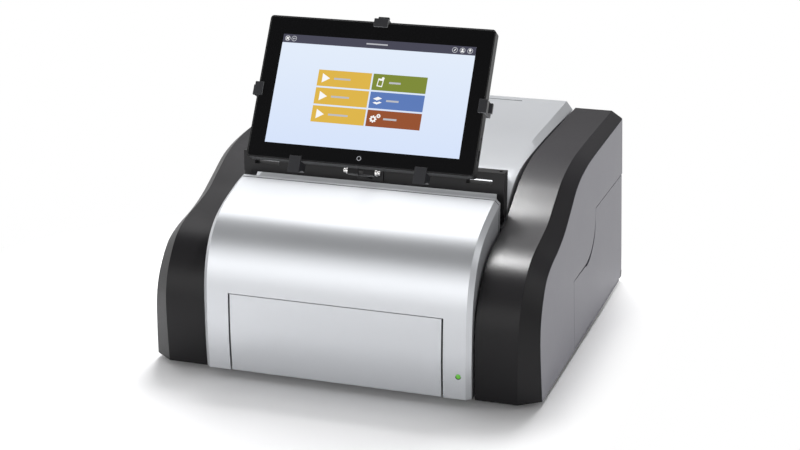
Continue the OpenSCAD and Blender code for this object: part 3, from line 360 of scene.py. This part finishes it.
def finished(name, bm, materials, body, replaces=(), bevel=0.0, smooth=True):
    """Turns a bmesh into a piece that rides on a body and may stand for CAD nodes."""
    for face in bm.faces:
        face.smooth = smooth
    mesh = bpy.data.meshes.new(name)
    bm.to_mesh(mesh)
    bm.free()
    piece = bpy.data.objects.new(name, mesh)
    bpy.context.scene.collection.objects.link(piece)
    for material in materials:
        mesh.materials.append(material)
    if bevel:
        edge = piece.modifiers.new("edge", "BEVEL")
        edge.width = bevel
        edge.segments = BEVEL_SEGMENTS
        edge.limit_method = "ANGLE"
        edge.angle_limit = BEVEL_ANGLE
        normals = piece.modifiers.new("normals", "WEIGHTED_NORMAL")
        normals.weight = NORMAL_WEIGHT
    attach(piece, body)
    piece.visible_glossy = body not in UNREFLECTED_BODIES and name not in UNREFLECTED_PIECES
    if replaces:
        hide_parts(*replaces)


# The side panels' outer plane is SIDE_X from the middle at the bench and leans in by SIDE_DRAFT
# with height. Faces further behind it than PAINTED_SHADE_DEPTH take a dark slot as painted shade,
# which darkens the gaps and recesses behind the panel's face. In metres.
SIDE_X = 0.235
SIDE_DRAFT = 0.042
PAINTED_SHADE_DEPTH = 0.0021
MERGE_DISTANCE = 2e-6
FLAT_ANGLE = math.radians(0.4)


def refined(node, bevel, reshape=None, recess_shade_slot=None):
    """Builds a CAD node's copy with rounded edges and smooth faces, which stands for the node.

    reshape edits its bmesh, and recess_shade_slot is the dark slot of its deep faces, a painted
    shade in its gaps and recesses.
    """
    source = FRAME["nodes"][node]
    bm = bmesh.new()
    bm.from_mesh(source.data)
    bmesh.ops.remove_doubles(bm, verts=bm.verts[:], dist=MERGE_DISTANCE)
    bmesh.ops.dissolve_limit(bm, angle_limit=FLAT_ANGLE, verts=bm.verts[:], edges=bm.edges[:])
    if reshape:
        reshape(bm)
    for face in bm.faces:
        centre = face.calc_center_median()
        behind = SIDE_X - SIDE_DRAFT * centre.z - abs(centre.x)
        # Deep faces take the dark slot: painted shade in the gaps and recesses behind the face.
        face.material_index = 1 if recess_shade_slot and behind > PAINTED_SHADE_DEPTH else 0
    slot = NODE_SLOT[node]
    materials = [material_for(slot)] + ([material_for(recess_shade_slot)] if recess_shade_slot else [])
    finished(node + "_finished", bm, materials, NODE_BODY[node], (node,), bevel)


LATHE_STEPS = 48
LATHE_MERGE = 1e-6


def lathe(bm, profile, centre, axis):
    """Spins a profile of (distance along the axis, radius), in millimetres, about an axis."""
    axis = Vector(axis).normalized()
    side = axis.orthogonal().normalized()
    points = [bm.verts.new(centre + axis * (a * MM) + side * (r * MM)) for a, r in profile]
    edges = [bm.edges.new(pair) for pair in zip(points, points[1:])]
    bmesh.ops.spin(bm, geom=points + edges, cent=centre, axis=axis, angle=2 * math.pi,
                   steps=LATHE_STEPS, use_merge=True, use_duplicate=False)
    bmesh.ops.remove_doubles(bm, verts=bm.verts[:], dist=LATHE_MERGE)
    bmesh.ops.recalc_face_normals(bm, faces=bm.faces[:])


# ---- Covers ----

# The hood's surface as (distance behind the front face, height)
HOOD_PROFILE = (
    (0.2, 100), (2, 122), (8, 144), (19, 165), (36, 182), (58, 194), (86, 204), (116, 212.4),
    (136, 214.4),
)
HOOD_X = 160.0
# The plate door's sides lie beyond DOOR_EDGE from the middle
DOOR_EDGE = 126.5
DOOR_GAP = 1.3


def spline_at(points, y):
    """Height of the smooth curve through points at a distance y."""
    for i in range(1, len(points) - 2):
        (y0, z0), (y1, z1), (y2, z2), (y3, z3) = points[i - 1:i + 3]
        if y1 <= y <= y2:
            t = (y - y1) / (y2 - y1)
            return 0.5 * (2 * z1 + (z2 - z0) * t + (2 * z0 - 5 * z1 + 4 * z2 - z3) * t ** 2
                          + (3 * z1 - z0 - 3 * z2 + z3) * t ** 3)
    return points[-1][1]


def narrow_door(bm):
    """Opens the dark gap at each side of the plate door."""
    for vert in bm.verts:
        if abs(vert.co.x) > DOOR_EDGE * MM:
            vert.co.x -= math.copysign(DOOR_GAP * MM, vert.co.x)


# The finger scoop's arc: y and z of its centre, and its radii along y and z
SCOOP = (262.0, 137.5, 62.0, 44.0)
SCOOP_BAND = 0.02
SCOOP_GAP = 4.2
SCOOP_START = 0.35
LEDGE_BAND = 0.5
LEDGE_GAP = 1.2
DOOR_FRONT_Y = 200.0


def open_scoop(bm):
    """Widens the gap along the finger scoop at the side door's front corner."""
    y0, z0, ry, rz = SCOOP
    for vert in bm.verts:
        y, z = vert.co.y / MM + HALF_DEPTH, vert.co.z / MM
        across, down = (y - y0) / ry, (z0 - z) / rz
        on_arc = abs(math.hypot(across, down) - 1) < SCOOP_BAND
        if across >= 0 and down >= -SCOOP_BAND and on_arc:
            turn = min(math.atan2(across, down) / (math.pi / 2), 1.0)
            gap = SCOOP_GAP * math.sin(math.pi * (SCOOP_START + (1 - SCOOP_START) * turn))
            normal = Vector((across / ry, -down / rz)).normalized()
            vert.co.y += gap * normal[0] * MM
            vert.co.z += gap * normal[1] * MM
        elif abs(z - z0 + rz) < LEDGE_BAND and DOOR_FRONT_Y - 1 < y < y0:
            vert.co.z -= LEDGE_GAP * MM * (y - DOOR_FRONT_Y) / (y0 - DOOR_FRONT_Y)


SEAL_Y = 111.0
SEAL_FOOT = 172.0
SEAL_HALF_WIDTH = 0.45
SEAL_SUNK = 0.4
SEAL_PROUD = 0.08
# The seal's path round the hood's corner, as (in from the side, down from the top)
SEAL_CORNER = ((0, 6.6), (0.3, 5.6), (4.9, 0.7), (6.2, 0))


def build_hood_seal():
    """A thin dark seal let into the hood along its rear edge and down both sides."""
    top = spline_at(HOOD_PROFILE, SEAL_Y)
    corner = [(HOOD_X - inward, top - down) for inward, down in SEAL_CORNER]
    right = [(HOOD_X, SEAL_FOOT)] + corner
    chain = right + [(-x, z) for x, z in reversed(right)]
    section = (
        (-SEAL_HALF_WIDTH, -SEAL_SUNK), (SEAL_HALF_WIDTH, -SEAL_SUNK),
        (SEAL_HALF_WIDTH, SEAL_PROUD), (-SEAL_HALF_WIDTH, SEAL_PROUD),
    )
    bm = bmesh.new()
    rows = []
    for i, (x, z) in enumerate(chain):
        before, after = chain[max(i - 1, 0)], chain[min(i + 1, len(chain) - 1)]
        along = Vector((after[0] - before[0], 0, after[1] - before[1])).normalized()
        row = []
        for side, lift in section:
            y = SEAL_Y + side
            height = z - along.x * lift + spline_at(HOOD_PROFILE, y) - top
            row.append(bm.verts.new(bench(x + along.z * lift, y, height)))
        rows.append(row)
    for a, b in zip(rows, rows[1:]):
        for k in range(4):
            bm.faces.new((a[k], a[(k + 1) % 4], b[(k + 1) % 4], b[k]))
    bm.faces.new(rows[0])
    bm.faces.new(rows[-1])
    bmesh.ops.recalc_face_normals(bm, faces=bm.faces[:])
    finished("hood_seal", bm, [material_for("black_plastic")], "housing",
             smooth=False)


# ---- Tablet ----

# The middle of the lower edge of the tablet's face, and how far the face leans back
TABLET_BASE = (0.0, 82.0, 244.8)
TABLET_TILT = math.radians(60.7)
PLATE_THICKNESS = 0.04


def on_tablet(x, v, out=0.0):
    """A point of the tablet's face: x across, v up the face, out of it, in millimetres."""
    c, s = math.cos(TABLET_TILT), math.sin(TABLET_TILT)
    base_x, base_y, base_z = TABLET_BASE
    return bench(base_x + x, base_y + v * c - out * s, base_z + v * s + out * c)


def flat_shape(bm, outline, out, index):
    """A thin plate with the given outline, out from the tablet's face, in one material."""
    face = bm.faces.new([bm.verts.new(on_tablet(x, v, out)) for x, v in outline])
    face.material_index = index
    lift = on_tablet(0, 0, PLATE_THICKNESS) - on_tablet(0, 0, 0)
    grown = bmesh.ops.extrude_face_region(bm, geom=[face])["geom"]
    raised = [g for g in grown if isinstance(g, bmesh.types.BMVert)]
    bmesh.ops.translate(bm, vec=lift, verts=raised)
    for vert in raised:
        for side in vert.link_faces:
            side.material_index = index


def rectangle(x0, v0, x1, v1):
    """A rectangle's outline from two opposite corners."""
    return [(x0, v0), (x1, v0), (x1, v1), (x0, v1)]


def disc(x, v, r, n=24):
    """A circle's outline with n sides."""
    angles = [2 * math.pi * i / n for i in range(n)]
    return [(x + r * math.cos(a), v + r * math.sin(a)) for a in angles]


def turned(outline, x, v, angle):
    """An outline turned about a point."""
    c, s = math.cos(angle), math.sin(angle)
    return [
        (x + (a - x) * c - (b - v) * s, v + (a - x) * s + (b - v) * c)
        for a, b in outline
    ]


DISPLAY = (-117.2, 18.9, 117.2, 150.8)
TITLE_LOW = 140.6
TILE_X = (-67.0, 0.0, 67.0)
TILE_V = (46.7, 68.3, 90.0, 111.6)
TILE_GAP = 1.0
# Material indices of the display image
SKY, TITLE, AMBER, GREEN, BLUE, RUST, WHITE, PALE, GLASS = range(9)
TILE_COLOURS = {
    (0, 0): AMBER, (0, 1): AMBER, (0, 2): AMBER,
    (1, 0): RUST, (1, 1): BLUE, (1, 2): GREEN,
}
# How far the display's layers stand out from the tablet's face
TILE_LAYER = 0.05
ICON_LAYER = 0.1
HUB_LAYER = 0.14
MARK_LAYER = 0.15
BORE_LAYER = 0.19
TOP_LAYER = 0.2
# How far in from a tile's left edge its icon and its word begin
ICON_IN = 9.5
WORD_IN = 20
WORD_HALF = 1.1
GEAR_TEETH = 8
SHEET_RISE = 2.4
SHEET_LEAN = 0.05
VIAL_LEAN = -0.12
TITLE_RINGS = (-111.5, -103.5, 92.5, 101.5, 110.5)
RING_RADIUS = 3.3
RING_WIDTH = 0.7
ROUND_SIDES = 32
HOME_V = 9.0


def word_bar(bm, left, mid, length):
    """A grey bar in place of a tile's word."""
    start = left + WORD_IN
    bar = rectangle(start, mid - WORD_HALF, start + length, mid + WORD_HALF)
    flat_shape(bm, bar, ICON_LAYER, PALE)


def gears_icon(bm, icon, mid):
    """A large and a small gear."""
    for x, v, r in ((icon - 1.6, mid - 0.8, 4.3), (icon + 4.4, mid + 3.2, 2.4)):
        tooth = rectangle(x - 0.7, v, x + 0.7, v + r)
        for k in range(GEAR_TEETH):
            flat_shape(bm, turned(tooth, x, v, k * 2 * math.pi / GEAR_TEETH), ICON_LAYER, WHITE)
        flat_shape(bm, disc(x, v, r * 0.78), HUB_LAYER, WHITE)
        flat_shape(bm, disc(x, v, r * 0.36), BORE_LAYER, RUST)


def sheets_icon(bm, icon, mid):
    """A stack of three sheets."""
    for k in range(3):
        rise = SHEET_RISE * k
        sheet = [(icon - 5.5, mid - 3 + rise), (icon - 0.5, mid - 5 + rise),
                 (icon + 5.5, mid - 2.6 + rise), (icon + 0.5, mid - 0.6 + rise)]
        colour = BLUE if k == 1 else WHITE
        flat_shape(bm, turned(sheet, icon, mid, SHEET_LEAN), ICON_LAYER + 0.05 * k, colour)


def vial_icon(bm, icon, mid):
    """A sample vial with its cap."""
    wall = rectangle(icon - 3.4, mid - 5.4, icon + 3.4, mid + 4.2)
    hollow = rectangle(icon - 2.4, mid - 4.2, icon + 2.4, mid + 2.0)
    flat_shape(bm, turned(wall, icon, mid, VIAL_LEAN), ICON_LAYER, WHITE)
    flat_shape(bm, turned(hollow, icon, mid, VIAL_LEAN), MARK_LAYER, GREEN)
    flat_shape(bm, disc(icon + 2.6, mid + 4.6, 1.7), TOP_LAYER, WHITE)


# The icons of the right-hand tiles, from the bottom up
TILE_ICONS = (gears_icon, sheets_icon, vial_icon)


def title_icons(bm, bar):
    """Five ringed icons on the title bar, and a grey bar in place of its words."""
    for x in TITLE_RINGS:
        flat_shape(bm, disc(x, bar, RING_RADIUS, ROUND_SIDES), ICON_LAYER, PALE)
        flat_shape(bm, disc(x, bar, RING_RADIUS - RING_WIDTH, ROUND_SIDES), MARK_LAYER, TITLE)
    close, back, tool, user, info = TITLE_RINGS
    stroke = rectangle(close - 2.4, bar - 0.55, close + 2.4, bar + 0.55)
    for angle in (math.pi / 4, -math.pi / 4):
        flat_shape(bm, turned(stroke, close, bar, angle), TOP_LAYER, WHITE)
    arrow = [(back - 1.9, bar), (back - 0.1, bar + 1.5), (back - 0.1, bar - 1.5)]
    flat_shape(bm, arrow, TOP_LAYER, PALE)
    flat_shape(bm, rectangle(back - 0.2, bar - 0.4, back + 1.9, bar + 0.4), TOP_LAYER, PALE)
    handle = rectangle(tool - 1.6, bar - 0.4, tool + 1.8, bar + 0.4)
    flat_shape(bm, turned(handle, tool, bar, 0.9), TOP_LAYER, WHITE)
    flat_shape(bm, disc(user, bar + 0.9, 1.1), TOP_LAYER, WHITE)
    flat_shape(bm, rectangle(user - 1.6, bar - 1.9, user + 1.6, bar - 0.4), TOP_LAYER, WHITE)
    flat_shape(bm, disc(info, bar + 0.8, 1.3), TOP_LAYER, WHITE)
    flat_shape(bm, rectangle(info - 0.4, bar - 2.0, info + 0.4, bar - 0.2), TOP_LAYER, WHITE)
    flat_shape(bm, rectangle(-14, bar - 0.8, 12, bar + 0.8), ICON_LAYER, PALE)


def build_screen():
    """The lit display with its title bar and tiles, and the round mark below it."""
    bm = bmesh.new()
    x0, v0, x1, v1 = DISPLAY
    flat_shape(bm, rectangle(x0, v0, x1, v1), 0.0, SKY)
    flat_shape(bm, rectangle(x0, TITLE_LOW, x1, v1), TILE_LAYER, TITLE)
    for (col, row), index in TILE_COLOURS.items():
        left, right = TILE_X[col] + TILE_GAP, TILE_X[col + 1] - TILE_GAP
        low, high = TILE_V[row] + TILE_GAP, TILE_V[row + 1] - TILE_GAP
        flat_shape(bm, rectangle(left, low, right, high), TILE_LAYER, index)
        mid = (low + high) / 2
        icon = left + ICON_IN
        if col == 0:
            triangle = [(icon - 4, mid - 5.6), (icon + 5.5, mid), (icon - 4, mid + 5.6)]
            flat_shape(bm, triangle, ICON_LAYER, WHITE)
            word_bar(bm, left, mid, 24 - 2 * row)
        else:
            word_bar(bm, left, mid, 16 - row)
            TILE_ICONS[row](bm, icon, mid)
    title_icons(bm, (TITLE_LOW + v1) / 2)
    flat_shape(bm, disc(0, HOME_V, 2.6, ROUND_SIDES), 0.0, PALE)
    flat_shape(bm, disc(0, HOME_V, 2.0, ROUND_SIDES), TILE_LAYER, GLASS)
    materials = [
        lit("display_sky", (0.80, 0.88, 1.0), 0.95, low=(0.70, 0.80, 1.0)),
        lit("title_bar", (0.055, 0.055, 0.085), 1.0),
        lit("tile_amber", (0.73, 0.46, 0.06), 1.0),
        lit("tile_green", (0.20, 0.25, 0.03), 1.0),
        lit("tile_blue", (0.10, 0.19, 0.48), 1.0),
        lit("tile_rust", (0.30, 0.075, 0.02), 1.0),
        lit("icon_white", (0.95, 0.95, 0.95), 1.0),
        lit("icon_pale", (0.55, 0.56, 0.60), 0.9),
        material_for("tablet_front"),
    ]
    finished("display_image", bm, materials, "cradle", smooth=False)


# ---- Operators ----


class CoverSizes(bpy.types.PropertyGroup):
    """Edge radii of the covers."""
    cover_edge: bpy.props.FloatProperty(
        name="Cover edge", description="Radius on the painted covers' edges",
        default=0.0012, min=0.0, subtype="DISTANCE")
    moulding_edge: bpy.props.FloatProperty(
        name="Moulding edge", description="Radius on the side arches' edges",
        default=0.0016, min=0.0, subtype="DISTANCE")
    sheet_edge: bpy.props.FloatProperty(
        name="Sheet edge", description="Radius on sheet and machined pieces",
        default=0.0004, min=0.0, subtype="DISTANCE")


class StageSettings(bpy.types.PropertyGroup):
    """Camera, lamps and floor."""
    lens: bpy.props.FloatProperty(
        name="Lens", description="Focal length of the camera in millimetres",
        default=78.65, min=1.0)
    key_power: bpy.props.FloatProperty(
        name="Overhead power", description="Power of the overhead softbox",
        default=80.0, min=0.0, subtype="POWER", unit="POWER")
    top_power: bpy.props.FloatProperty(
        name="Highlight power", description="Power of the softbox that lights the bends",
        default=9.0, min=0.0, subtype="POWER", unit="POWER")
    accent_power: bpy.props.FloatProperty(
        name="Accent power", description="Power of the strip over the right arch",
        default=8.0, min=0.0, subtype="POWER", unit="POWER")
    fill_power: bpy.props.FloatProperty(
        name="Side power", description="Power of each side softbox",
        default=6.0, min=0.0, subtype="POWER", unit="POWER")
    floor_colour: bpy.props.FloatVectorProperty(
        name="Floor", description="Colour of the floor",
        default=(0.93, 0.93, 0.94), min=0.0, max=1.0, subtype="COLOR")


COVERS = ("hood", "plate_door", "rear_lid")
MOULDINGS = ("arch_left", "arch_right")
PANELS = ("side_panel_left", "side_panel_right", "side_door", "side_bay", "bottle_rack")
TABLET_NODES = ("cradle_plate", "clip_top", "clip_left", "clip_right", "clips_lower", "tablet_body",
                "tablet_glass", "power_key", "volume_key", "yoke", "hinge_arm")


class READER_OT_covers(bpy.types.Operator):
    """Finish the hood, the plate door and the rear lid"""
    bl_idname = "reader.covers"
    bl_label = "Covers"

    def execute(self, context):
        for node in COVERS:
            refined(node, context.scene.cover_sizes.cover_edge,
                    reshape=narrow_door if node == "plate_door" else None)
        build_hood_seal()
        return {"FINISHED"}


class READER_OT_mouldings(bpy.types.Operator):
    """Finish the two side arches"""
    bl_idname = "reader.mouldings"
    bl_label = "Side arches"

    def execute(self, context):
        for node in MOULDINGS:
            refined(node, context.scene.cover_sizes.moulding_edge)
        return {"FINISHED"}


class READER_OT_panels(bpy.types.Operator):
    """Finish the side panels, the side door and the bay behind it"""
    bl_idname = "reader.panels"
    bl_label = "Side panels"

    def execute(self, context):
        for node in PANELS:
            # The right side panel's deep faces get black plastic, a painted shade that darkens its
            # gaps and recesses.
            refined(node, context.scene.cover_sizes.sheet_edge,
                    reshape=open_scoop if node == "side_door" else None,
                    recess_shade_slot="black_plastic" if node == "side_panel_right" else None)
        return {"FINISHED"}


class READER_OT_tablet(bpy.types.Operator):
    """Finish the tablet, its cradle, clips and yoke, and light the display"""
    bl_idname = "reader.tablet"
    bl_label = "Tablet and yoke"

    def execute(self, context):
        for node in TABLET_NODES:
            refined(node, context.scene.cover_sizes.sheet_edge)
        build_screen()
        return {"FINISHED"}


AXLE = (0, 98, 234)
# Profiles for lathe()
AXLE_HEAD = (
    (-19, 0), (-19, 2.5), (16.2, 2.5), (16.2, 3.6), (16.8, 3.9), (18.6, 3.9), (19.2, 3.4),
    (19.4, 2.4), (19.9, 2.2), (20.3, 2.5), (21.4, 2.8), (22.0, 2.5), (22.3, 1.6), (22.4, 0),
)
LENS_DOME = (
    (0.0, 0.0), (0.05, 1.0), (0.2, 1.8), (0.5, 2.5), (0.8, 2.82), (4.3, 2.82), (4.3, 4.4),
    (5.7, 4.4), (5.7, 0.0),
)
LENS_RING = ((0.35, 2.9), (0.3, 3.5), (0.6, 3.7), (1.6, 3.7), (1.6, 2.9), (0.35, 2.9))


class READER_OT_hardware(bpy.types.Operator):
    """Turn the axle's heads and the status lamp"""
    bl_idname = "reader.hardware"
    bl_label = "Hardware"

    def execute(self, context):
        self.axle()
        self.lamp()
        return {"FINISHED"}

    def axle(self):
        """The hinge axle, turned with one head and then joined to the other."""
        bm = bmesh.new()
        lathe(bm, AXLE_HEAD, bench(*AXLE), (1, 0, 0))
        other = bmesh.new()
        lathe(other, AXLE_HEAD[2:], bench(*AXLE), (-1, 0, 0))
        mesh = bpy.data.meshes.new("axle_part")
        other.to_mesh(mesh)
        other.free()
        bm.from_mesh(mesh)
        bpy.data.meshes.remove(mesh)
        finished("hinge_axle_finished", bm, [material_for("steel_rod")], "cradle",
                 ("hinge_axle",))

    def lamp(self):
        """The status lamp's domed lens and the dark ring round it."""
        low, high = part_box("status_lens")
        centre = Vector(((low[0] + high[0]) / 2, low[1], (low[2] + high[2]) / 2))
        bm = bmesh.new()
        lathe(bm, LENS_DOME, centre, (0, 1, 0))
        finished("status_lens_finished", bm, [material_for("lamp_green")], "housing",
                 ("status_lens",))
        bm = bmesh.new()
        lathe(bm, LENS_RING, centre, (0, 1, 0))
        finished("status_lens_ring", bm, [material_for("black_plastic")], "housing")


class READER_OT_inside(bpy.types.Operator):
    """Give every other node its finish"""
    bl_idname = "reader.inside"
    bl_label = "Other nodes"

    def execute(self, context):
        for node, item in FRAME["nodes"].items():
            if not item.hide_render:
                refined(node, context.scene.cover_sizes.sheet_edge)
        return {"FINISHED"}


# Brightness of the room by angle in degrees: 0 is level in front, 90 overhead and 180 level behind
ROOM = (
    (-30, 1.53), (0, 3.06), (20, 2.55), (38, 0.2), (60, 0.08), (82, 0.1), (95, 0.42),
    (108, 1.13), (124, 1.31), (140, 0.84), (155, 0.28), (180, 0.19), (210, 0.19),
)
ROOM_PEAK = max(level for _, level in ROOM)
# Sine of the height at which the white backdrop has given way to the room
BACKDROP_TOP = 0.2
# The room is dimmer to the right: by direction along X, down to a share of its brightness
RIGHT_FADE = (0.05, 0.5)
RIGHT_SHARE = 0.3
# Place, target and size of each lamp, in metres
LAMPS = {
    "overhead_softbox": ((-0.2, 1.4, 1.9), (0, 0, 0.1), (1.5, 1.2)),
    "top_softbox": ((-0.58, 0.40, 2.05), (0, 0, 0.15), (1.2, 0.9)),
    "arch_accent": ((0.045, -0.04, 0.625), (0.19, -0.185, 0.17), (0.08, 0.26)),
    "left_softbox": ((-1.9, -0.5, 1.0), (0, 0, 0.15), (1.0, 1.4)),
    "right_softbox": ((2.2, 0.3, 0.9), (0, 0, 0.1), (1.0, 1.2)),
}
CAMERA_PLACE = (0.6346, -1.97958, 0.76721)
CAMERA_TURN = (
    (0.95128, -0.09748, 0.29252), (0.30825, 0.27806, -0.90976), (0.00734, 0.95560, 0.29456),
)
SENSOR_WIDTH = 36.0
CAMERA_CLIP = (0.05, 60.0)
FLOOR_RADIUS = 12.0
FLOOR_SEGMENTS = 96
FLOOR_DROP = 0.0002
# The floor is matt under the object and turns to plain white between these distances from the
# middle of the matt part, and between these distances to the right
FLOOR_SHIFT = (0.09, 0.08, 0.0)
FLOOR_FADE = (0.34, 0.56)
BESIDE_FADE = (0.24, 0.33)


def area(name, power):
    """A soft rectangular lamp that faces its target."""
    place, target, size = LAMPS[name]
    data = bpy.data.lights.new(name, "AREA")
    data.shape = "RECTANGLE"
    data.size, data.size_y = size
    data.energy = power
    lamp = bpy.data.objects.new(name, data)
    lamp.location = place
    facing = Vector(target) - Vector(place)
    lamp.rotation_euler = facing.to_track_quat("-Z", "Y").to_euler()
    bpy.context.scene.collection.objects.link(lamp)
    return lamp


class READER_OT_stage(bpy.types.Operator):
    """Lay the floor and set the lamps, the world and the camera"""
    bl_idname = "reader.stage"
    bl_label = "Stage"

    def execute(self, context):
        scene = context.scene
        scene.view_settings.view_transform = "Standard"
        self.floor(scene.stage_settings)
        self.world(scene)
        self.lamps(scene.stage_settings)
        self.camera(scene)
        return {"FINISHED"}

    def lamps(self, settings):
        """Four softboxes, and a strip that lights only the side arches."""
        overhead = area("overhead_softbox", settings.key_power)
        overhead.visible_glossy = False
        area("top_softbox", settings.top_power)
        accent = area("arch_accent", settings.accent_power)
        receivers = bpy.data.collections.new("arch_receivers")
        for node in MOULDINGS:
            receivers.objects.link(bpy.data.objects[node + "_finished"])
        accent.light_linking.receiver_collection = receivers
        area("left_softbox", settings.fill_power)
        area("right_softbox", settings.fill_power)

    def camera(self, scene):
        """A long lens, above the bench and to the right of the front."""
        camera_data = bpy.data.cameras.new("camera")
        camera_data.sensor_width = SENSOR_WIDTH
        camera_data.sensor_fit = "HORIZONTAL"
        camera_data.lens = scene.stage_settings.lens
        camera_data.clip_start, camera_data.clip_end = CAMERA_CLIP
        camera = bpy.data.objects.new("camera", camera_data)
        camera.matrix_world = Matrix.Translation(CAMERA_PLACE) @ Matrix(CAMERA_TURN).to_4x4()
        scene.collection.objects.link(camera)
        scene.camera = camera

    def floor(self, settings):
        """A pale floor that turns to plain white away from the object."""
        bm = bmesh.new()
        bmesh.ops.create_circle(bm, cap_ends=True, segments=FLOOR_SEGMENTS, radius=FLOOR_RADIUS)
        mesh = bpy.data.meshes.new("floor")
        bm.to_mesh(mesh)
        bm.free()
        floor = bpy.data.objects.new("floor", mesh)
        floor.location = (0, 0, -FLOOR_DROP)
        bpy.context.scene.collection.objects.link(floor)
        material = bpy.data.materials.new("floor_paper")
        material.use_nodes = True
        tree = material.node_tree
        tree.nodes.remove(tree.nodes["Principled BSDF"])
        sink = tree.nodes["Material Output"]
        matt = tree.nodes.new("ShaderNodeBsdfDiffuse")
        matt.inputs["Color"].default_value = (*settings.floor_colour, 1)
        white = tree.nodes.new("ShaderNodeEmission")
        place = tree.nodes.new("ShaderNodeTexCoord")
        shift = tree.nodes.new("ShaderNodeVectorMath")
        shift.inputs[1].default_value = FLOOR_SHIFT
        length = tree.nodes.new("ShaderNodeVectorMath")
        length.operation = "LENGTH"
        away = fade(tree, *FLOOR_FADE)
        split = tree.nodes.new("ShaderNodeSeparateXYZ")
        beside = fade(tree, *BESIDE_FADE)
        most = tree.nodes.new("ShaderNodeMath")
        most.operation = "MAXIMUM"
        blend = tree.nodes.new("ShaderNodeMixShader")
        link = tree.links.new
        link(place.outputs["Object"], split.inputs["Vector"])
        link(split.outputs["X"], beside.inputs["Value"])
        link(beside.outputs["Result"], most.inputs[1])
        link(place.outputs["Object"], shift.inputs[0])
        link(shift.outputs["Vector"], length.inputs[0])
        link(length.outputs["Value"], away.inputs["Value"])
        link(away.outputs["Result"], most.inputs[0])
        link(most.outputs[0], blend.inputs["Fac"])
        link(matt.outputs["BSDF"], blend.inputs[1])
        link(white.outputs["Emission"], blend.inputs[2])
        link(blend.outputs["Shader"], sink.inputs["Surface"])
        mesh.materials.append(material)

    def world(self, scene):
        """A studio with a white backdrop all round the horizon and a shaped room above it."""
        world = bpy.data.worlds.new("studio")
        scene.world = world
        world.use_nodes = True
        tree = world.node_tree
        tree.nodes.clear()
        sink = tree.nodes.new("ShaderNodeOutputWorld")
        room = tree.nodes.new("ShaderNodeBackground")
        backdrop = tree.nodes.new("ShaderNodeBackground")
        backdrop.inputs["Color"].default_value = (1, 1, 1, 1)
        place = tree.nodes.new("ShaderNodeTexCoord")
        split = tree.nodes.new("ShaderNodeSeparateXYZ")
        front = tree.nodes.new("ShaderNodeMath")
        front.operation = "MULTIPLY"
        front.inputs[1].default_value = -1.0
        angle = tree.nodes.new("ShaderNodeMath")
        angle.operation = "ARCTAN2"
        first, last = ROOM[0][0], ROOM[-1][0]
        turn = tree.nodes.new("ShaderNodeMapRange")
        turn.inputs["From Min"].default_value = math.radians(first)
        turn.inputs["From Max"].default_value = math.radians(last)
        ramp = tree.nodes.new("ShaderNodeValToRGB")
        stops = ramp.color_ramp.elements
        stops.remove(stops[0])
        for i, (degrees, level) in enumerate(ROOM):
            position = (degrees - first) / (last - first)
            stop = stops.new(position) if i else stops[0]
            stop.position = position
            share = level / ROOM_PEAK
            stop.color = (share, share, share, 1)
        side = fade(tree, *RIGHT_FADE)
        side.inputs["To Min"].default_value = ROOM_PEAK
        side.inputs["To Max"].default_value = ROOM_PEAK * RIGHT_SHARE
        rise = fade(tree, 0.0, BACKDROP_TOP)
        choose = tree.nodes.new("ShaderNodeMixShader")
        link = tree.links.new
        link(place.outputs["Generated"], split.inputs["Vector"])
        link(split.outputs["Y"], front.inputs[0])
        link(split.outputs["Z"], angle.inputs[0])
        link(front.outputs[0], angle.inputs[1])
        link(angle.outputs[0], turn.inputs["Value"])
        link(turn.outputs["Result"], ramp.inputs["Fac"])
        link(split.outputs["X"], side.inputs["Value"])
        link(ramp.outputs["Color"], room.inputs["Color"])
        link(side.outputs["Result"], room.inputs["Strength"])
        link(split.outputs["Z"], rise.inputs["Value"])
        link(rise.outputs["Result"], choose.inputs["Fac"])
        link(backdrop.outputs["Background"], choose.inputs[1])
        link(room.outputs["Background"], choose.inputs[2])
        link(choose.outputs["Shader"], sink.inputs["Surface"])


STEPS = (READER_OT_covers, READER_OT_mouldings, READER_OT_panels, READER_OT_tablet,
         READER_OT_hardware, READER_OT_inside, READER_OT_stage)


class READER_PT_looks(bpy.types.Panel):
    """Lists the building steps in the sidebar."""
    bl_label = "Microplate Reader"
    bl_idname = "READER_PT_looks"
    bl_space_type = "VIEW_3D"
    bl_region_type = "UI"
    bl_category = "Reader"

    def draw(self, context):
        for group in (context.scene.cover_sizes, context.scene.stage_settings):
            for name in group.bl_rna.properties.keys():
                if name not in ("rna_type", "name"):
                    self.layout.prop(group, name)
        for step in STEPS:
            self.layout.operator(step.bl_idname)


CLASSES = (CoverSizes, StageSettings, *STEPS, READER_PT_looks)


def register():
    for item in CLASSES:
        bpy.utils.register_class(item)
    bpy.types.Scene.cover_sizes = bpy.props.PointerProperty(type=CoverSizes)
    bpy.types.Scene.stage_settings = bpy.props.PointerProperty(type=StageSettings)


def unregister():
    del bpy.types.Scene.stage_settings
    del bpy.types.Scene.cover_sizes
    for item in reversed(CLASSES):
        bpy.utils.unregister_class(item)


def main():
    register()
    bpy.ops.reader.covers()
    bpy.ops.reader.mouldings()
    bpy.ops.reader.panels()
    bpy.ops.reader.tablet()
    bpy.ops.reader.hardware()
    bpy.ops.reader.inside()
    bpy.ops.reader.stage()
    bpy.context.view_layer.update()


if __name__ == "__main__":
    main()
